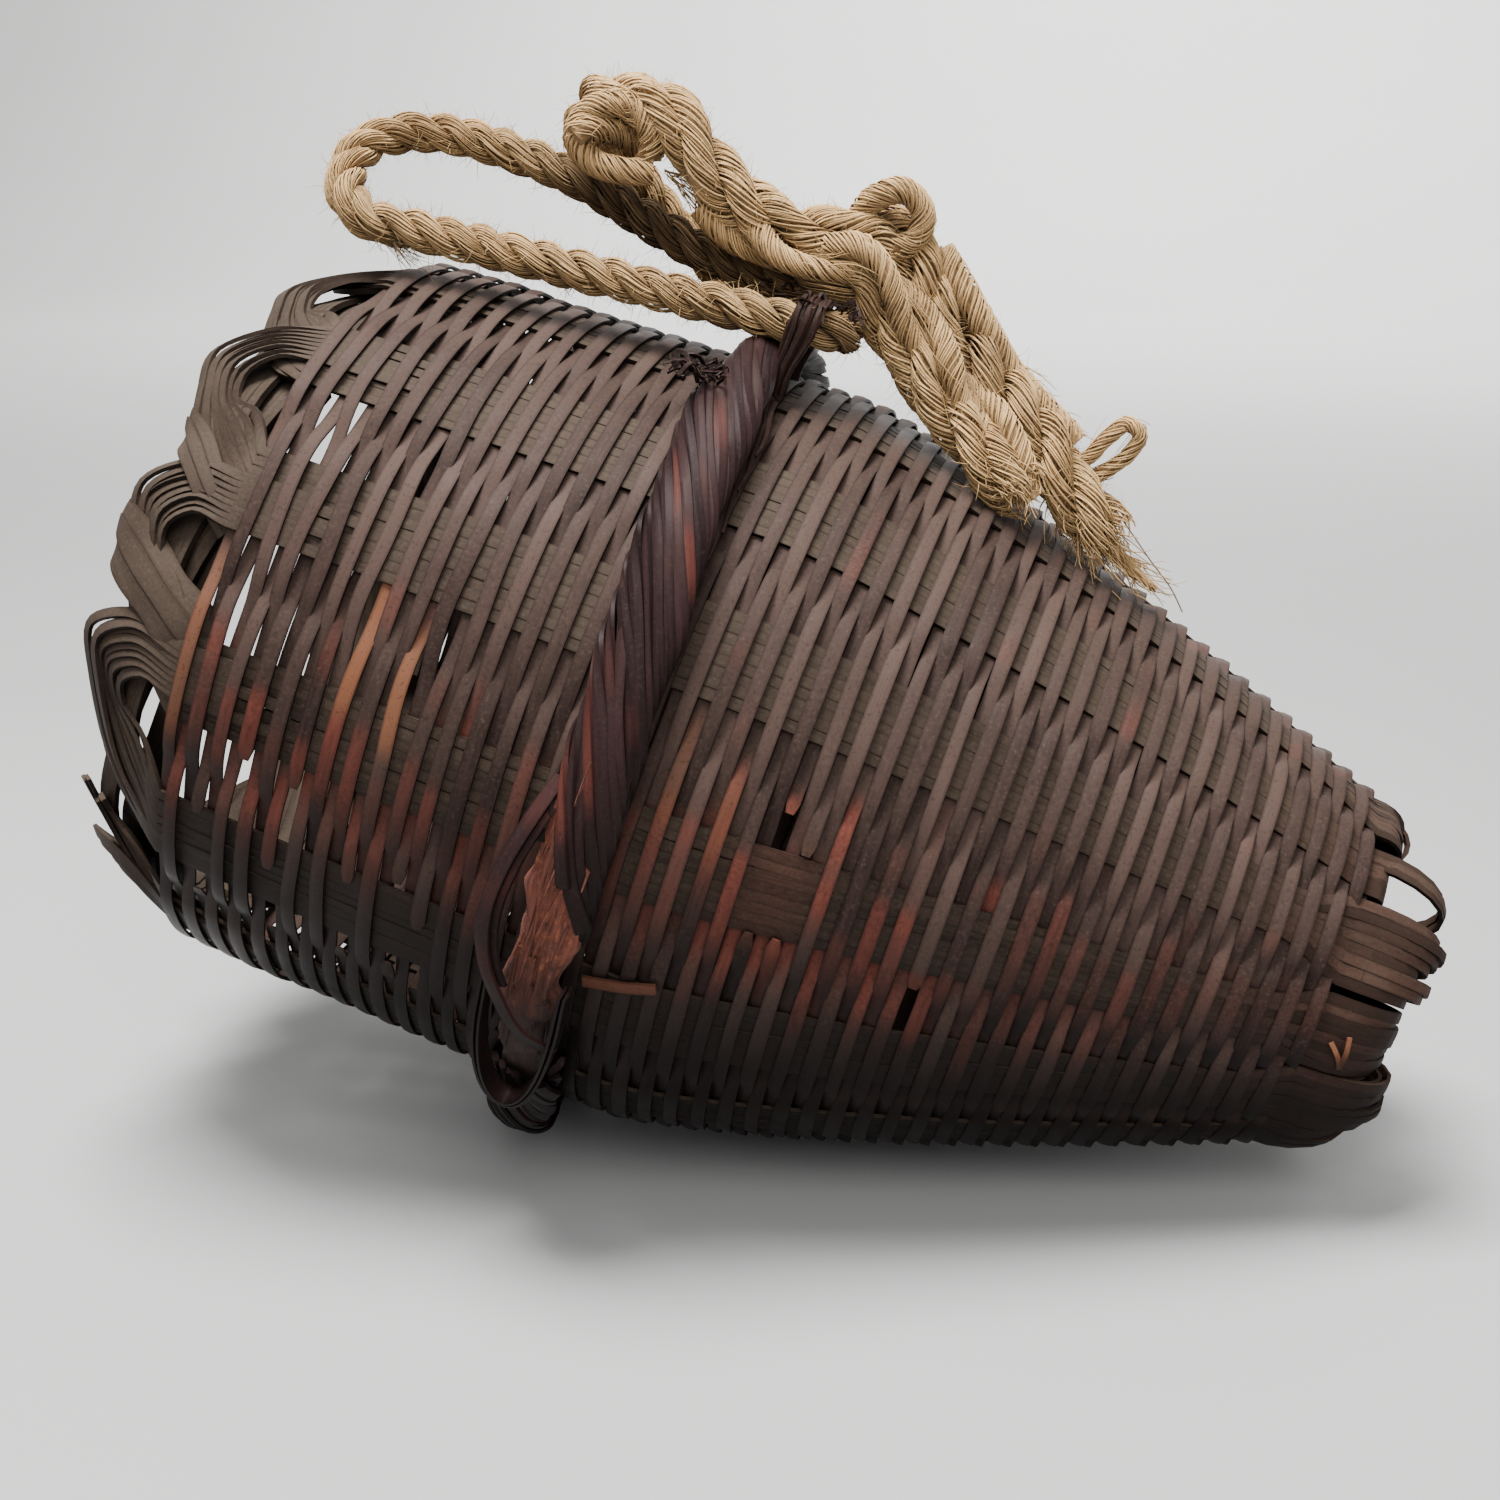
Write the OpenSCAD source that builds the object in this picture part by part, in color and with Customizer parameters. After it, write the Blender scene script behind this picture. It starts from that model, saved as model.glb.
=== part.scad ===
// Woven bamboo creel with a twisted hoop and a rope sling, lying on its side.
// The basket's axis runs from the mouth (-X) down to the base (+X); hoop and wall rest on Z = 0.
// Units are millimetres.

/* [Basket body] */
// Across the stakes at the mouth
mouth_d = 176; // [140:1:220]
// Across the stakes at the belly
belly_d = 183; // [150:1:230]
// Across the stakes at the base
base_d = 86; // [60:1:120]
// First to last row of weaving, along the axis
body_l = 256; // [200:1:330]
// Mouth to the end of the belly, where the wall starts to taper
shoulder_l = 112; // [70:1:150]
// Bow of the tapering wall, 1 is a straight cone
taper_bow = 1.25; // [1.1:0.05:1.8]
// Lean of the axis as the basket lies at rest
rest_tilt = 17.5; // [0:0.5:25]

/* [Stakes] */
// Width of a stake at the belly
stake_w = 20; // [16:0.5:28]
// Turn of the first stake from the lowest line of the wall
stake_turn = -8.8; // [-12.8:0.2:12.8]
// Thickness of a stake
stake_t = 1.2; // [0.8:0.1:1.8]
// Splints that a stake is split into
splint_n = 3; // [2:1:4]
// Crack between two splints of a stake
splint_gap = 0.4; // [0.2:0.1:0.8]

/* [Border] */
// Height of the widest arch over the first row of weaving
rim_h = 26; // [16:1:36]
// Inward lean of the arches per millimetre of height
rim_lean = 0.5; // [0.2:0.05:0.7]
// Share of its width that a splint loses at the top of its arch
arch_thin = 0.28; // [0.15:0.01:0.5]
// Length of the splint ends that are tucked in behind the next stake
tuck_l = 14; // [6:1:24]

/* [Weavers] */
// Width of a weaver
weaver_w = 2.6; // [2:0.1:3]
// Thickness of a weaver
weaver_t = 0.8; // [0.5:0.1:1.2]
// Distance from one row of weaving to the next
row_pitch = 3; // [2.8:0.1:5]
// Clearance between a weaver and the stakes that it passes
weave_gap = 0.3; // [0.2:0.05:0.6]

/* [Base] */
// Bend radius of the stakes where they fold under the base
fold_r = 7; // [4:0.5:9]
// Straight length of a stake past the last row of weaving
fold_out = 2; // [1:0.5:6]
// Width of a strip of the base mat
mat_strip_w = 8; // [5:0.5:12]
// Distance from one strip of the base mat to the next
mat_pitch = 9; // [8.5:0.5:14]
// Thickness of a strip of the base mat
mat_strip_t = 1; // [0.6:0.1:1.6]

/* [Hoop] */
// Mouth to the middle of the hoop
hoop_u = 88; // [50:1:105]
// Width of the twisted hoop, between the middles of its outer strips
hoop_w = 15; // [13:0.5:20]
// Depth of the twisted hoop, between the middles of its outer strips
hoop_depth = 8.4; // [8:0.2:12]
// Strips twisted round the core
strip_n = 7; // [5:1:7]
// Width of a twisted strip
strip_w = 4; // [2.5:0.1:4.4]
// Thickness of a twisted strip
strip_t = 1.3; // [0.8:0.1:1.5]
// Length along the hoop in which the strips turn once round the core
twist_l = 130; // [100:5:200]

/* [Rope] */
// Diameter of the three-strand rope
rope_d = 10; // [7:0.5:10]
// Thickness of the bamboo strap that holds the rope
strap_t = 1.2; // [0.8:0.1:1.5]
// Width of the strap, along the rope
strap_w = 4; // [3:0.5:6]

/* [Hidden] */
mouth_r = mouth_d / 2;
belly_r = belly_d / 2;
base_r = base_d / 2;
stake_n = 14;
stake_step = 360 / stake_n;
bottom_a = 180;
mouth_bow = 2;
wall_n = 11;
arch_n = 8;
fold_n = 5;
half_turn = 180;
seat_gap = 0.3;
run_margin = 0.8;

// Swept strips and tubes

function unit(v) = v / norm(v);
function along(p, i) = unit(p[min(i + 1, len(p) - 1)] - p[max(i - 1, 0)]);
function polar(u, r, a) = [u, r * sin(a), r * cos(a)];

// Corners of a flat strip at one place on its path, square to the path
function strip_ring(c, dir, n, w, t) =
    let (side = unit(cross(dir, n)), out = cross(side, dir))
    [for (s = [[-1, -1], [1, -1], [1, 1], [-1, 1]]) c + side * s.x * w / 2 + out * s.y * t / 2];

// A strip's stations are [centre, outward normal, width]
function strip_points(stations, t) =
    let (p = [for (s = stations) s[0]])
    [for (i = [0 : len(p) - 1]) each strip_ring(p[i], along(p, i), stations[i][1], stations[i][2], t)];

// Corners of a tube along a route, turned with the route so that it doesn't twist
function tube_normals(p, i = 0, n = undef) =
    let (
        dir = along(p, i),
        guess = is_undef(n) ? cross(dir, [0, 0, 1]) : n,
        own = unit(guess - dir * (guess * dir))
    )
    i == len(p) - 1 ? [own] : concat([own], tube_normals(p, i + 1, own));
function tube_points(p, r, sides) =
    let (normals = tube_normals(p))
    [for (i = [0 : len(p) - 1], s = [0 : sides - 1])
        let (a = s * 360 / sides, x = normals[i], y = cross(along(p, i), x))
        p[i] + x * r * cos(a) + y * r * sin(a)];

// The halves of a ring are creased in mirror image, so that a twisted strip keeps its thickness
function ring_faces(rings, sides, closed) =
    let (last = closed ? rings - 1 : rings - 2)
    [for (i = [0 : last], s = [0 : sides - 1])
        let (
            a = i * sides + s,
            b = i * sides + (s + 1) % sides,
            up = (i + 1) % rings * sides,
            c = up + (s + 1) % sides,
            d = up + s
        )
        each s < sides / 2 ? [[a, b, c], [a, c, d]] : [[a, b, d], [b, c, d]]];
function end_faces(rings, sides) = [
    [for (s = [sides - 1 : -1 : 0]) s],
    [for (s = [0 : sides - 1]) (rings - 1) * sides + s]
];

module skin(points, sides, closed = false) {
    rings = len(points) / sides;
    ends = closed ? [] : end_faces(rings, sides);
    polyhedron(points, concat(ring_faces(rings, sides, closed), ends));
}

module strip(stations, t) {
    skin(strip_points(stations, t), 4);
}

// The wall: stakes and weavers share one profile of straight stretches

function profile_r(u) = u < shoulder_l
    ? belly_r - (belly_r - mouth_r) * pow((shoulder_l - u) / shoulder_l, mouth_bow)
    : belly_r - (belly_r - base_r) * pow((u - shoulder_l) / (body_l - shoulder_l), taper_bow);
wall_us = [for (i = [0 : wall_n]) i * body_l / wall_n];
wall_table = [for (u = wall_us) [u, profile_r(u)]];
function stake_r(u) = lookup(u, wall_table);
function stake_a(i) = bottom_a + stake_turn + i * stake_step;

function splint_w(r) = (stake_w * r / belly_r - (splint_n - 1) * splint_gap) / splint_n;
function splint_x(k, r) = (k - (splint_n - 1) / 2) * (splint_w(r) + splint_gap);
function splint_at(i, k, u, r, n) =
    let (a = stake_a(i) + atan2(splint_x(k, r), r))
    [polar(u, norm([r, splint_x(k, r)]), a), polar(n.x, n.y, stake_a(i)), splint_w(r)];

// Clearance that a straight weaver needs on the sloping stakes
function bevel(u) = abs(stake_r(u - weaver_w / 2) - stake_r(u + weaver_w / 2)) / 2;
function lean_of(u) = bevel(u) * 2 / weaver_w;
function stake_half(u) = stake_t / 2 * norm([1, lean_of(u)]);
function over_in(u) = stake_r(u) + stake_half(u) + bevel(u) + weave_gap;
function under_in(u) = stake_r(u) - stake_half(u) - bevel(u) - weave_gap - weaver_t;
function run_half(u) = stake_w * stake_r(u) / belly_r / 2 + run_margin;

// The border: each splint arches over to the next stake and is tucked in behind it
mouth_pitch = 2 * PI * mouth_r / stake_n;
function arch_r(k) = mouth_pitch / 2 - splint_x(k, mouth_r);
function ease(f) = f * f * (3 - 2 * f);
tuck = stake_t + weaver_t + 3 * weave_gap + seat_gap;
function arch_at(i, k, f) =
    let (
        x = mouth_pitch / 2 - arch_r(k) * cos(half_turn * f),
        u = -rim_h * arch_r(k) / arch_r(0) * sin(half_turn * f),
        turn = x / mouth_r * half_turn / PI,
        off = turn - stake_step * round(turn / stake_step),
        r = (mouth_r + rim_lean * u - tuck * ease(f)) / cos(off),
        a = stake_a(i) + turn
    )
    [polar(u, r, a), polar(-rim_lean, 1, a), splint_w(mouth_r) * (1 - arch_thin * sin(half_turn * f))];
function tuck_at(i, k) =
    let (a = stake_a(i + 1) - splint_x(k, mouth_r) / mouth_r * half_turn / PI)
    [polar(tuck_l, stake_r(tuck_l) - tuck, a), polar(0, 1, a), splint_w(mouth_r)];

// The fold: each splint turns in under the base and ends at the mat
mat_gap = weave_gap;
mat_half = mat_strip_t + mat_gap / 2;
mat_u = body_l - row_pitch - mat_half;
fold_in_r = base_r - 2 * fold_r;
function fold_at(i, k, g) =
    splint_at(i, k, body_l + fold_out + fold_r * sin(g), base_r - fold_r + fold_r * cos(g), [sin(g), cos(g)]);

function splint_stations(i, k) = concat(
    [tuck_at(i, k)],
    [for (f = [arch_n : -1 : 1]) arch_at(i, k, f / arch_n)],
    [for (u = wall_us) splint_at(i, k, u, stake_r(u), [0, 1])],
    [for (g = [0 : fold_n]) fold_at(i, k, g * half_turn / fold_n)],
    [splint_at(i, k, mat_u + mat_half + seat_gap, fold_in_r, [0, -1])]
);

rows = floor(body_l / row_pitch);
function row_u(j) = (j + 0.5) * row_pitch;
// Corners of row j: layer 0 is the weaver's inner face and 1 is its outer face
function row_outline(j, layer) =
    let (u = row_u(j), h = run_half(u))
    [for (i = [0 : stake_n - 1], side = [-1, 1])
        let (
            a = stake_a(i),
            d = ((i + j) % 2 == 0 ? over_in(u) : under_in(u)) + layer * weaver_t
        )
        d * [sin(a), cos(a)] + side * h * [cos(a), -sin(a)]];

// The hoop: strips twisted round a core, open at the strap and at the broken stretch
hoop_in_r = norm([over_in(hoop_u) + weaver_t, run_half(hoop_u)]) + seat_gap;
hoop_r = hoop_in_r + hoop_depth / 2 + strip_t / 2;
hoop_out_r = hoop_r + hoop_depth / 2 + strip_t / 2;
hoop_step = 6;
front_arc = [-18, -106];
back_arc = [18, 218];
core_sides = 8;
core_n = 45;
core_slack = 0.94;
core_w = hoop_w * core_slack - strip_t - 2 * seat_gap;
core_depth = hoop_depth * core_slack - strip_t - 2 * seat_gap;

// Turn of a strip round the core, evened out so that the strips keep their distance on the oval
function twist(a, s) =
    let (turn = s * 360 / strip_n + a * PI * hoop_r * 2 / twist_l)
    turn + (hoop_w - hoop_depth) / (hoop_w + hoop_depth) / 2 * half_turn / PI * sin(2 * turn);
function strip_at(a, s) =
    let (
        p = twist(a, s),
        x = hoop_w / 2 * cos(p),
        y = hoop_depth / 2 * sin(p),
        n = [hoop_depth * cos(p), hoop_w * sin(p)]
    )
    [polar(hoop_u + x, hoop_r + y, a), polar(n.x, n.y, a), strip_w];
function strip_stations(arc, s) =
    let (n = ceil(abs(arc[1] - arc[0]) / hoop_step))
    [for (i = [0 : n]) strip_at(arc[0] + (arc[1] - arc[0]) * i / n, s)];
core_points = [for (i = [0 : core_n - 1], s = [0 : core_sides - 1])
    let (p = s * 360 / core_sides)
    polar(hoop_u + core_w / 2 * cos(p), hoop_r + core_depth / 2 * sin(p), i * 360 / core_n)];

// A broken strip that springs off the hoop, as [along the axis, height over the hoop, angle]
loose_w = 7;
loose_t = 1;
loose_route = [[2, 0.8, -78], [-3, 3, -86], [-6, 4, -94], [-5, 5, -102], [2, 4, -109], [11, 1, -114]];
loose_stations = [for (p = loose_route)
    [polar(hoop_u + p.x, hoop_out_r + p.y, p.z), polar(0, 1, p.z), loose_w]];

// The worn second eye: a strip on edge, bent round below the broken stretch of the hoop
becket_w = 8;
becket_t = 2.4;
becket_n = 8;
becket_span = 11.5;
becket_drop = 12;
becket_top_a = -112;
becket_tip_a = -108;
becket_u = hoop_u - core_w / 2 - seat_gap - becket_t / 2 + becket_span;
becket_leg_r = hoop_out_r;
becket_bow_r = hoop_r + core_depth / 2 + seat_gap + becket_w / 2;
function becket_at(g) =
    let (
        a = becket_top_a - becket_drop * sin(g),
        u = becket_u - becket_span * cos(g),
        r = becket_leg_r + (becket_bow_r - becket_leg_r) * sin(g)
    )
    [polar(u, r, a), [-cos(g), -sin(g) * cos(a), sin(g) * sin(a)], becket_w];
function becket_end(side) =
    [polar(becket_u + side * becket_span, becket_leg_r, becket_tip_a), [side, 0, 0], becket_w];
becket_stations = concat(
    [becket_end(-1)],
    [for (i = [0 : becket_n]) becket_at(i * half_turn / becket_n)],
    [becket_end(1)]
);

// The rope: one length, threaded through the strap and doubled back
rope_r = rope_d / 2;
rope_sides = 10;
loop_route = [[104.2, -10, 108], [104.2, -11, 108], [103.2, -13.4, 108], [101, -15.4, 108],
    [98, -16, 107.6], [88, -16, 106.7], [60, -16, 104.2], [30, -16, 101.6], [0, -16, 98.9],
    [-10, -16, 98], [-17, -13, 101], [-21, -6, 106], [-21, 2, 111.5], [-16, 8, 116], [-6, 11, 119],
    [10, 12, 120], [30, 10, 119], [45, 7, 116.5], [60, 4, 114], [74, 1, 113], [85, -2, 114],
    [92, -5, 116], [98, -7, 118], [104, -5, 118], [111, -4, 114], [122, -7, 106], [136, -12, 97],
    [147, -15, 91], [155, -17, 88]];
tail_route = [[104.2, -10, 108], [104.2, -9, 108], [103.2, -6.6, 108], [101, -3.8, 108],
    [97, 0, 108], [92, 5, 108], [86, 11, 107.5], [78, 16, 106.5], [69, 19, 107.5], [60, 21, 111],
    [51, 20, 116], [43, 17, 122], [35, 12, 127], [29, 6, 132], [32, 0, 138], [43, -3, 141],
    [54, -4, 139], [63, -5, 132], [73, -5, 128], [86, -5, 127], [96, -3, 131], [104, 1, 136],
    [113, 3, 131], [121, 3, 123], [132, 0, 115], [143, -3, 107], [154, -5, 99], [164, -7, 91],
    [177, -9, 83]];
leg_start = loop_route[4];
leg_end = loop_route[9];
leg_dir = unit(leg_end - leg_start);

// The strap: a staple over the rope beside the hoop's core, with its feet on the weaving
strap_gap = 0.6;
strap_u = hoop_u + core_w / 2 + seat_gap + strap_w / 2;
strap_c = leg_start + leg_dir * (leg_start.x - strap_u);
strap_r = rope_r + strap_gap + strap_t / 2;
strap_n = 6;
foot_r = hoop_in_r + strap_t / 2;
function foot_at(y) = [strap_u, y, sqrt(foot_r * foot_r - y * y)];
strap_arc = [for (i = [0 : strap_n])
    let (a = -90 + i * half_turn / strap_n)
    [strap_c + strap_r * [0, sin(a), cos(a)], [0, sin(a), cos(a)], strap_w]];
strap_stations = concat(
    [[foot_at(strap_c.y - strap_r), [0, -1, 0], strap_w]],
    strap_arc,
    [[foot_at(strap_c.y + strap_r), [0, 1, 0], strap_w]]
);
strap_tail_arc = [-18, -36];
strap_tail_n = 4;
strap_tail_stations = [for (i = [0 : strap_tail_n])
    let (a = strap_tail_arc[0] + (strap_tail_arc[1] - strap_tail_arc[0]) * i / strap_tail_n)
    [polar(hoop_u + hoop_w / 2 + strip_t + strap_w, foot_r, a), polar(0, 1, a), strap_w]];

// The frame: the middle of the basket's footprint, on the surface that it lies on
function lie(p) = [
    p.x * cos(rest_tilt) + p.z * sin(rest_tilt),
    p.y,
    p.z * cos(rest_tilt) - p.x * sin(rest_tilt)
];
row_corners = [for (j = [0 : rows - 1], q = row_outline(j, 1), s = [-1, 1])
    [row_u(j) + s * weaver_w / 2, q.x, q.y]];
splint_corners = [for (i = [0 : stake_n - 1], k = [0 : splint_n - 1])
    each strip_points(splint_stations(i, k), stake_t)];
hoop_corners = [for (arc = [front_arc, back_arc], s = [0 : strip_n - 1])
    each strip_points(strip_stations(arc, s), strip_t)];
broken_corners = concat(strip_points(loose_stations, loose_t), strip_points(becket_stations, becket_t));
corners = [for (p = concat(row_corners, splint_corners, hoop_corners, broken_corners)) lie(p)];
xs = [for (p = corners) p.x];
ys = [for (p = corners) p.y];
zs = [for (p = corners) p.z];
rest_point = [(min(xs) + max(xs)) / 2, (min(ys) + max(ys)) / 2, min(zs)];

module at_rest() {
    translate(-rest_point)
        rotate([0, rest_tilt, 0])
            children();
}

bamboo = [0.33, 0.28, 0.24];
dark_bamboo = [0.25, 0.19, 0.18];
red_bamboo = [0.31, 0.2, 0.17];
rotten_wood = [0.4, 0.2, 0.12];
rope_tan = [0.6, 0.48, 0.3];

module stake(i) {
    color(bamboo)
        at_rest()
            for (k = [0 : splint_n - 1])
                strip(splint_stations(i, k), stake_t);
}

module weaver(j) {
    n = 2 * stake_n;
    translate([row_u(j) - weaver_w / 2, 0, 0])
        rotate([90, 0, 90])
            linear_extrude(weaver_w)
                polygon(
                    concat(row_outline(j, 1), row_outline(j, 0)),
                    [[for (i = [0 : n - 1]) i], [for (i = [0 : n - 1]) n + i]]
                );
}

// One band of neighbouring rows, counted from the mouth
bands = 8;
module weavers(band) {
    color(band % 2 == 0 ? dark_bamboo : red_bamboo)
        at_rest()
            for (j = [0 : rows - 1])
                if (floor(j * bands / rows) == band)
                    weaver(j);
}

// Mat strips lie side by side and cross the other set over and under
mat_r = under_in(mat_u + mat_half) - seat_gap;
mat_count = 2 * floor((mat_r - mat_strip_w / 2) / mat_pitch) + 1;
mat_mid = (mat_count - 1) / 2;
mat_step = (mat_strip_t + mat_gap) / 2;
function mat_half_l(m) = sqrt(pow(mat_r, 2) - pow(abs(m - mat_mid) * mat_pitch + mat_strip_w / 2, 2));
function mat_wave(m) =
    [for (q = [0 : mat_count - 1], side = [-1, 1])
        let (x = (q - mat_mid) * mat_pitch + side * (mat_strip_w / 2 + mat_gap))
        if (abs(x) < mat_half_l(m))
            [x, ((q + m) % 2 == 0 ? 1 : -1) * mat_step]];
function mat_line(m) =
    let (wave = mat_wave(m), n = len(wave), l = mat_half_l(m))
    concat([[-l, wave[0].y]], wave, [[l, wave[n - 1].y]]);
function reversed(list) = [for (i = [len(list) - 1 : -1 : 0]) list[i]];

module mat_strip(m) {
    line = mat_line(m);
    half = [0, mat_strip_t / 2];
    translate([0, 0, -mat_strip_w / 2])
        linear_extrude(mat_strip_w)
            polygon(concat([for (p = line) p - half], reversed([for (p = line) p + half])));
}

module base_warps() {
    color(bamboo)
        at_rest()
            translate([mat_u, 0, 0])
                for (m = [0 : mat_count - 1])
                    translate([0, 0, (m - mat_mid) * mat_pitch])
                        rotate([0, 0, 90])
                            mat_strip(m);
}

module base_wefts() {
    color(dark_bamboo)
        at_rest()
            translate([mat_u, 0, 0])
                for (m = [0 : mat_count - 1])
                    translate([0, (m - mat_mid) * mat_pitch, 0])
                        rotate([-90, -90, 0])
                            mat_strip(m);
}

module hoop_core() {
    color(rotten_wood)
        at_rest()
            skin(core_points, core_sides, closed = true);
}

module hoop_strips(arc) {
    color(dark_bamboo)
        at_rest()
            for (s = [0 : strip_n - 1])
                strip(strip_stations(arc, s), strip_t);
}

module hoop_loose_strip() {
    color(dark_bamboo)
        at_rest()
            strip(loose_stations, loose_t);
}

module lower_becket() {
    color(dark_bamboo)
        at_rest()
            strip(becket_stations, becket_t);
}

module rope_strap() {
    color(dark_bamboo)
        at_rest()
            strip(strap_stations, strap_t);
}

module strap_tail() {
    color(dark_bamboo)
        at_rest()
            strip(strap_tail_stations, strap_t);
}

module rope(route) {
    color(rope_tan)
        at_rest()
            skin(tube_points(route, rope_r, rope_sides), rope_sides);
}

stake(0);  // stake_01
stake(1);  // stake_02
stake(2);  // stake_03
stake(3);  // stake_04
stake(4);  // stake_05
stake(5);  // stake_06
stake(6);  // stake_07
stake(7);  // stake_08
stake(8);  // stake_09
stake(9);  // stake_10
stake(10);  // stake_11
stake(11);  // stake_12
stake(12);  // stake_13
stake(13);  // stake_14
weavers(0);  // weavers_1
weavers(1);  // weavers_2
weavers(2);  // weavers_3
weavers(3);  // weavers_4
weavers(4);  // weavers_5
weavers(5);  // weavers_6
weavers(6);  // weavers_7
weavers(7);  // weavers_8
base_warps();
base_wefts();
hoop_core();
hoop_strips(front_arc);  // hoop_front_strips
hoop_strips(back_arc);  // hoop_back_strips
hoop_loose_strip();
lower_becket();
rope_strap();
strap_tail();
rope(loop_route);  // rope_loop
rope(tail_route);  // rope_tail
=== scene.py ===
import math

import bpy
import numpy as np
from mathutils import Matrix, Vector


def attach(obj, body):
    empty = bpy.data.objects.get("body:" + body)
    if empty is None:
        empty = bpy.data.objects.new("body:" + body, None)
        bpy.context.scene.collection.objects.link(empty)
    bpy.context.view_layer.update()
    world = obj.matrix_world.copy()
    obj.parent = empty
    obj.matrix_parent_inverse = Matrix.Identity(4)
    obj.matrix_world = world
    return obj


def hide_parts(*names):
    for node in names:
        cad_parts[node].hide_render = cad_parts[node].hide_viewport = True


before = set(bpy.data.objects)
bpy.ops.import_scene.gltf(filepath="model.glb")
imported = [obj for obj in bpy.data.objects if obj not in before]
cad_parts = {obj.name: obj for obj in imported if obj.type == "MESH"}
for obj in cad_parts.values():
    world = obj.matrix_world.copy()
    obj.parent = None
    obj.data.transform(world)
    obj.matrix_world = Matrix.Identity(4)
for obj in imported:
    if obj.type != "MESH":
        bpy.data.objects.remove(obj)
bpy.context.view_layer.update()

# The table and the light: a plain pale table top that sweeps up behind, under soft lamps.
# The camera stands a little above the basket's middle, as the photograph's did.
floor_grey, floor_pale = (0.42, 0.418, 0.412, 1.0), (0.45, 0.447, 0.44, 1.0)
floor_half = 6.0
bend_y, bend_r, sweep_top = 2.6, 1.6, 3.6
lens_px, frame_px = 2121.2, 1500
sensor_mm = 36.0
eye = Vector((0.10561, -0.49076, 0.24006))
sight = Vector((-0.20174, 0.93985, -0.27564))
lamps = [
    ("key_lamp", (-0.15, -0.15, 1.30), (0.0, 0.0, 0.1), 0.6, 47.0),
    ("front_lamp", (0.40, -1.10, 1.05), (0.0, 0.0, 0.1), 0.8, 9.0),
    ("sweep_lamp", (0.0, 2.2, 2.3), (0.0, 4.2, 0.7), 2.0, 300.0),
]

scene = bpy.context.scene


def stood(name, data, place, way):
    """A camera or a lamp at its place, looking its way."""
    made = bpy.data.objects.new(name, data)
    made.location = place
    made.rotation_mode = "QUATERNION"
    made.rotation_quaternion = way.to_track_quat("-Z", "Y")
    scene.collection.objects.link(made)
    return made


camera = stood("camera", bpy.data.cameras.new("camera"), eye, sight)
camera.data.sensor_width = sensor_mm
camera.data.lens = sensor_mm * lens_px / frame_px
camera.data.clip_start = 0.01
scene.camera = camera
for name, place, target, size, watts in lamps:
    lamp = stood(name, bpy.data.lights.new(name, "AREA"), place, Vector(target) - Vector(place))
    lamp.data.size = size
    lamp.data.energy = watts

scene.world = bpy.data.worlds.new("studio")
scene.world.use_nodes = True
sky = scene.world.node_tree.nodes["Background"]
sky.inputs["Color"].default_value = (0.95, 0.955, 0.97, 1.0)
sky.inputs["Strength"].default_value = 0.7


def wire(tree, kind, inputs=(), **settings):
    """A node with its settings, its inputs linked to sockets or set to values."""
    made = tree.nodes.new(kind)
    for key, value in settings.items():
        setattr(made, key, value)
    for key, value in dict(inputs).items():
        if isinstance(value, bpy.types.NodeSocket):
            tree.links.new(value, made.inputs[key])
        else:
            made.inputs[key].default_value = value
    return made


def noise(tree, at, scale, detail, roughness=0.5):
    return wire(tree, "ShaderNodeTexNoise", {
        "Vector": at, "Scale": scale, "Detail": detail, "Roughness": roughness})


def object_place(tree):
    return wire(tree, "ShaderNodeTexCoord").outputs["Object"]


def blend(tree, factor, a, b):
    return wire(tree, "ShaderNodeMix", {"Factor": factor, 6: a, 7: b}, data_type="RGBA").outputs[2]


def material(name, **values):
    """A new finish; what is the same all over it is set on the shader itself."""
    made = bpy.data.materials.new(name)
    made.use_nodes = True
    shader = made.node_tree.nodes["Principled BSDF"]
    for key, value in values.items():
        shader.inputs[key.replace("_", " ")].default_value = value
    return made, made.node_tree, shader


floor_mat, tree, shader = material("table_top", Roughness=0.7)
cloud = noise(tree, object_place(tree), 3.0, 2.0)
tree.links.new(blend(tree, cloud.outputs["Fac"], floor_grey, floor_pale), shader.inputs["Base Color"])
bend = [math.radians(g) for g in range(6, 91, 6)]
sweep = [(-floor_half, 0.0), (bend_y, 0.0)]
sweep += [(bend_y + bend_r * math.sin(g), bend_r - bend_r * math.cos(g)) for g in bend]
sweep += [(bend_y + bend_r, sweep_top)]
floor_mesh = bpy.data.meshes.new("table_top")
floor_mesh.from_pydata(
    [(x, y, z) for y, z in sweep for x in (-floor_half, floor_half)],
    [], [(2 * i, 2 * i + 1, 2 * i + 3, 2 * i + 2) for i in range(len(sweep) - 1)])
floor_mesh.shade_smooth()
floor_mesh.materials.append(floor_mat)
table_top = bpy.data.objects.new("table_top", floor_mesh)
scene.collection.objects.link(table_top)

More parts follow.
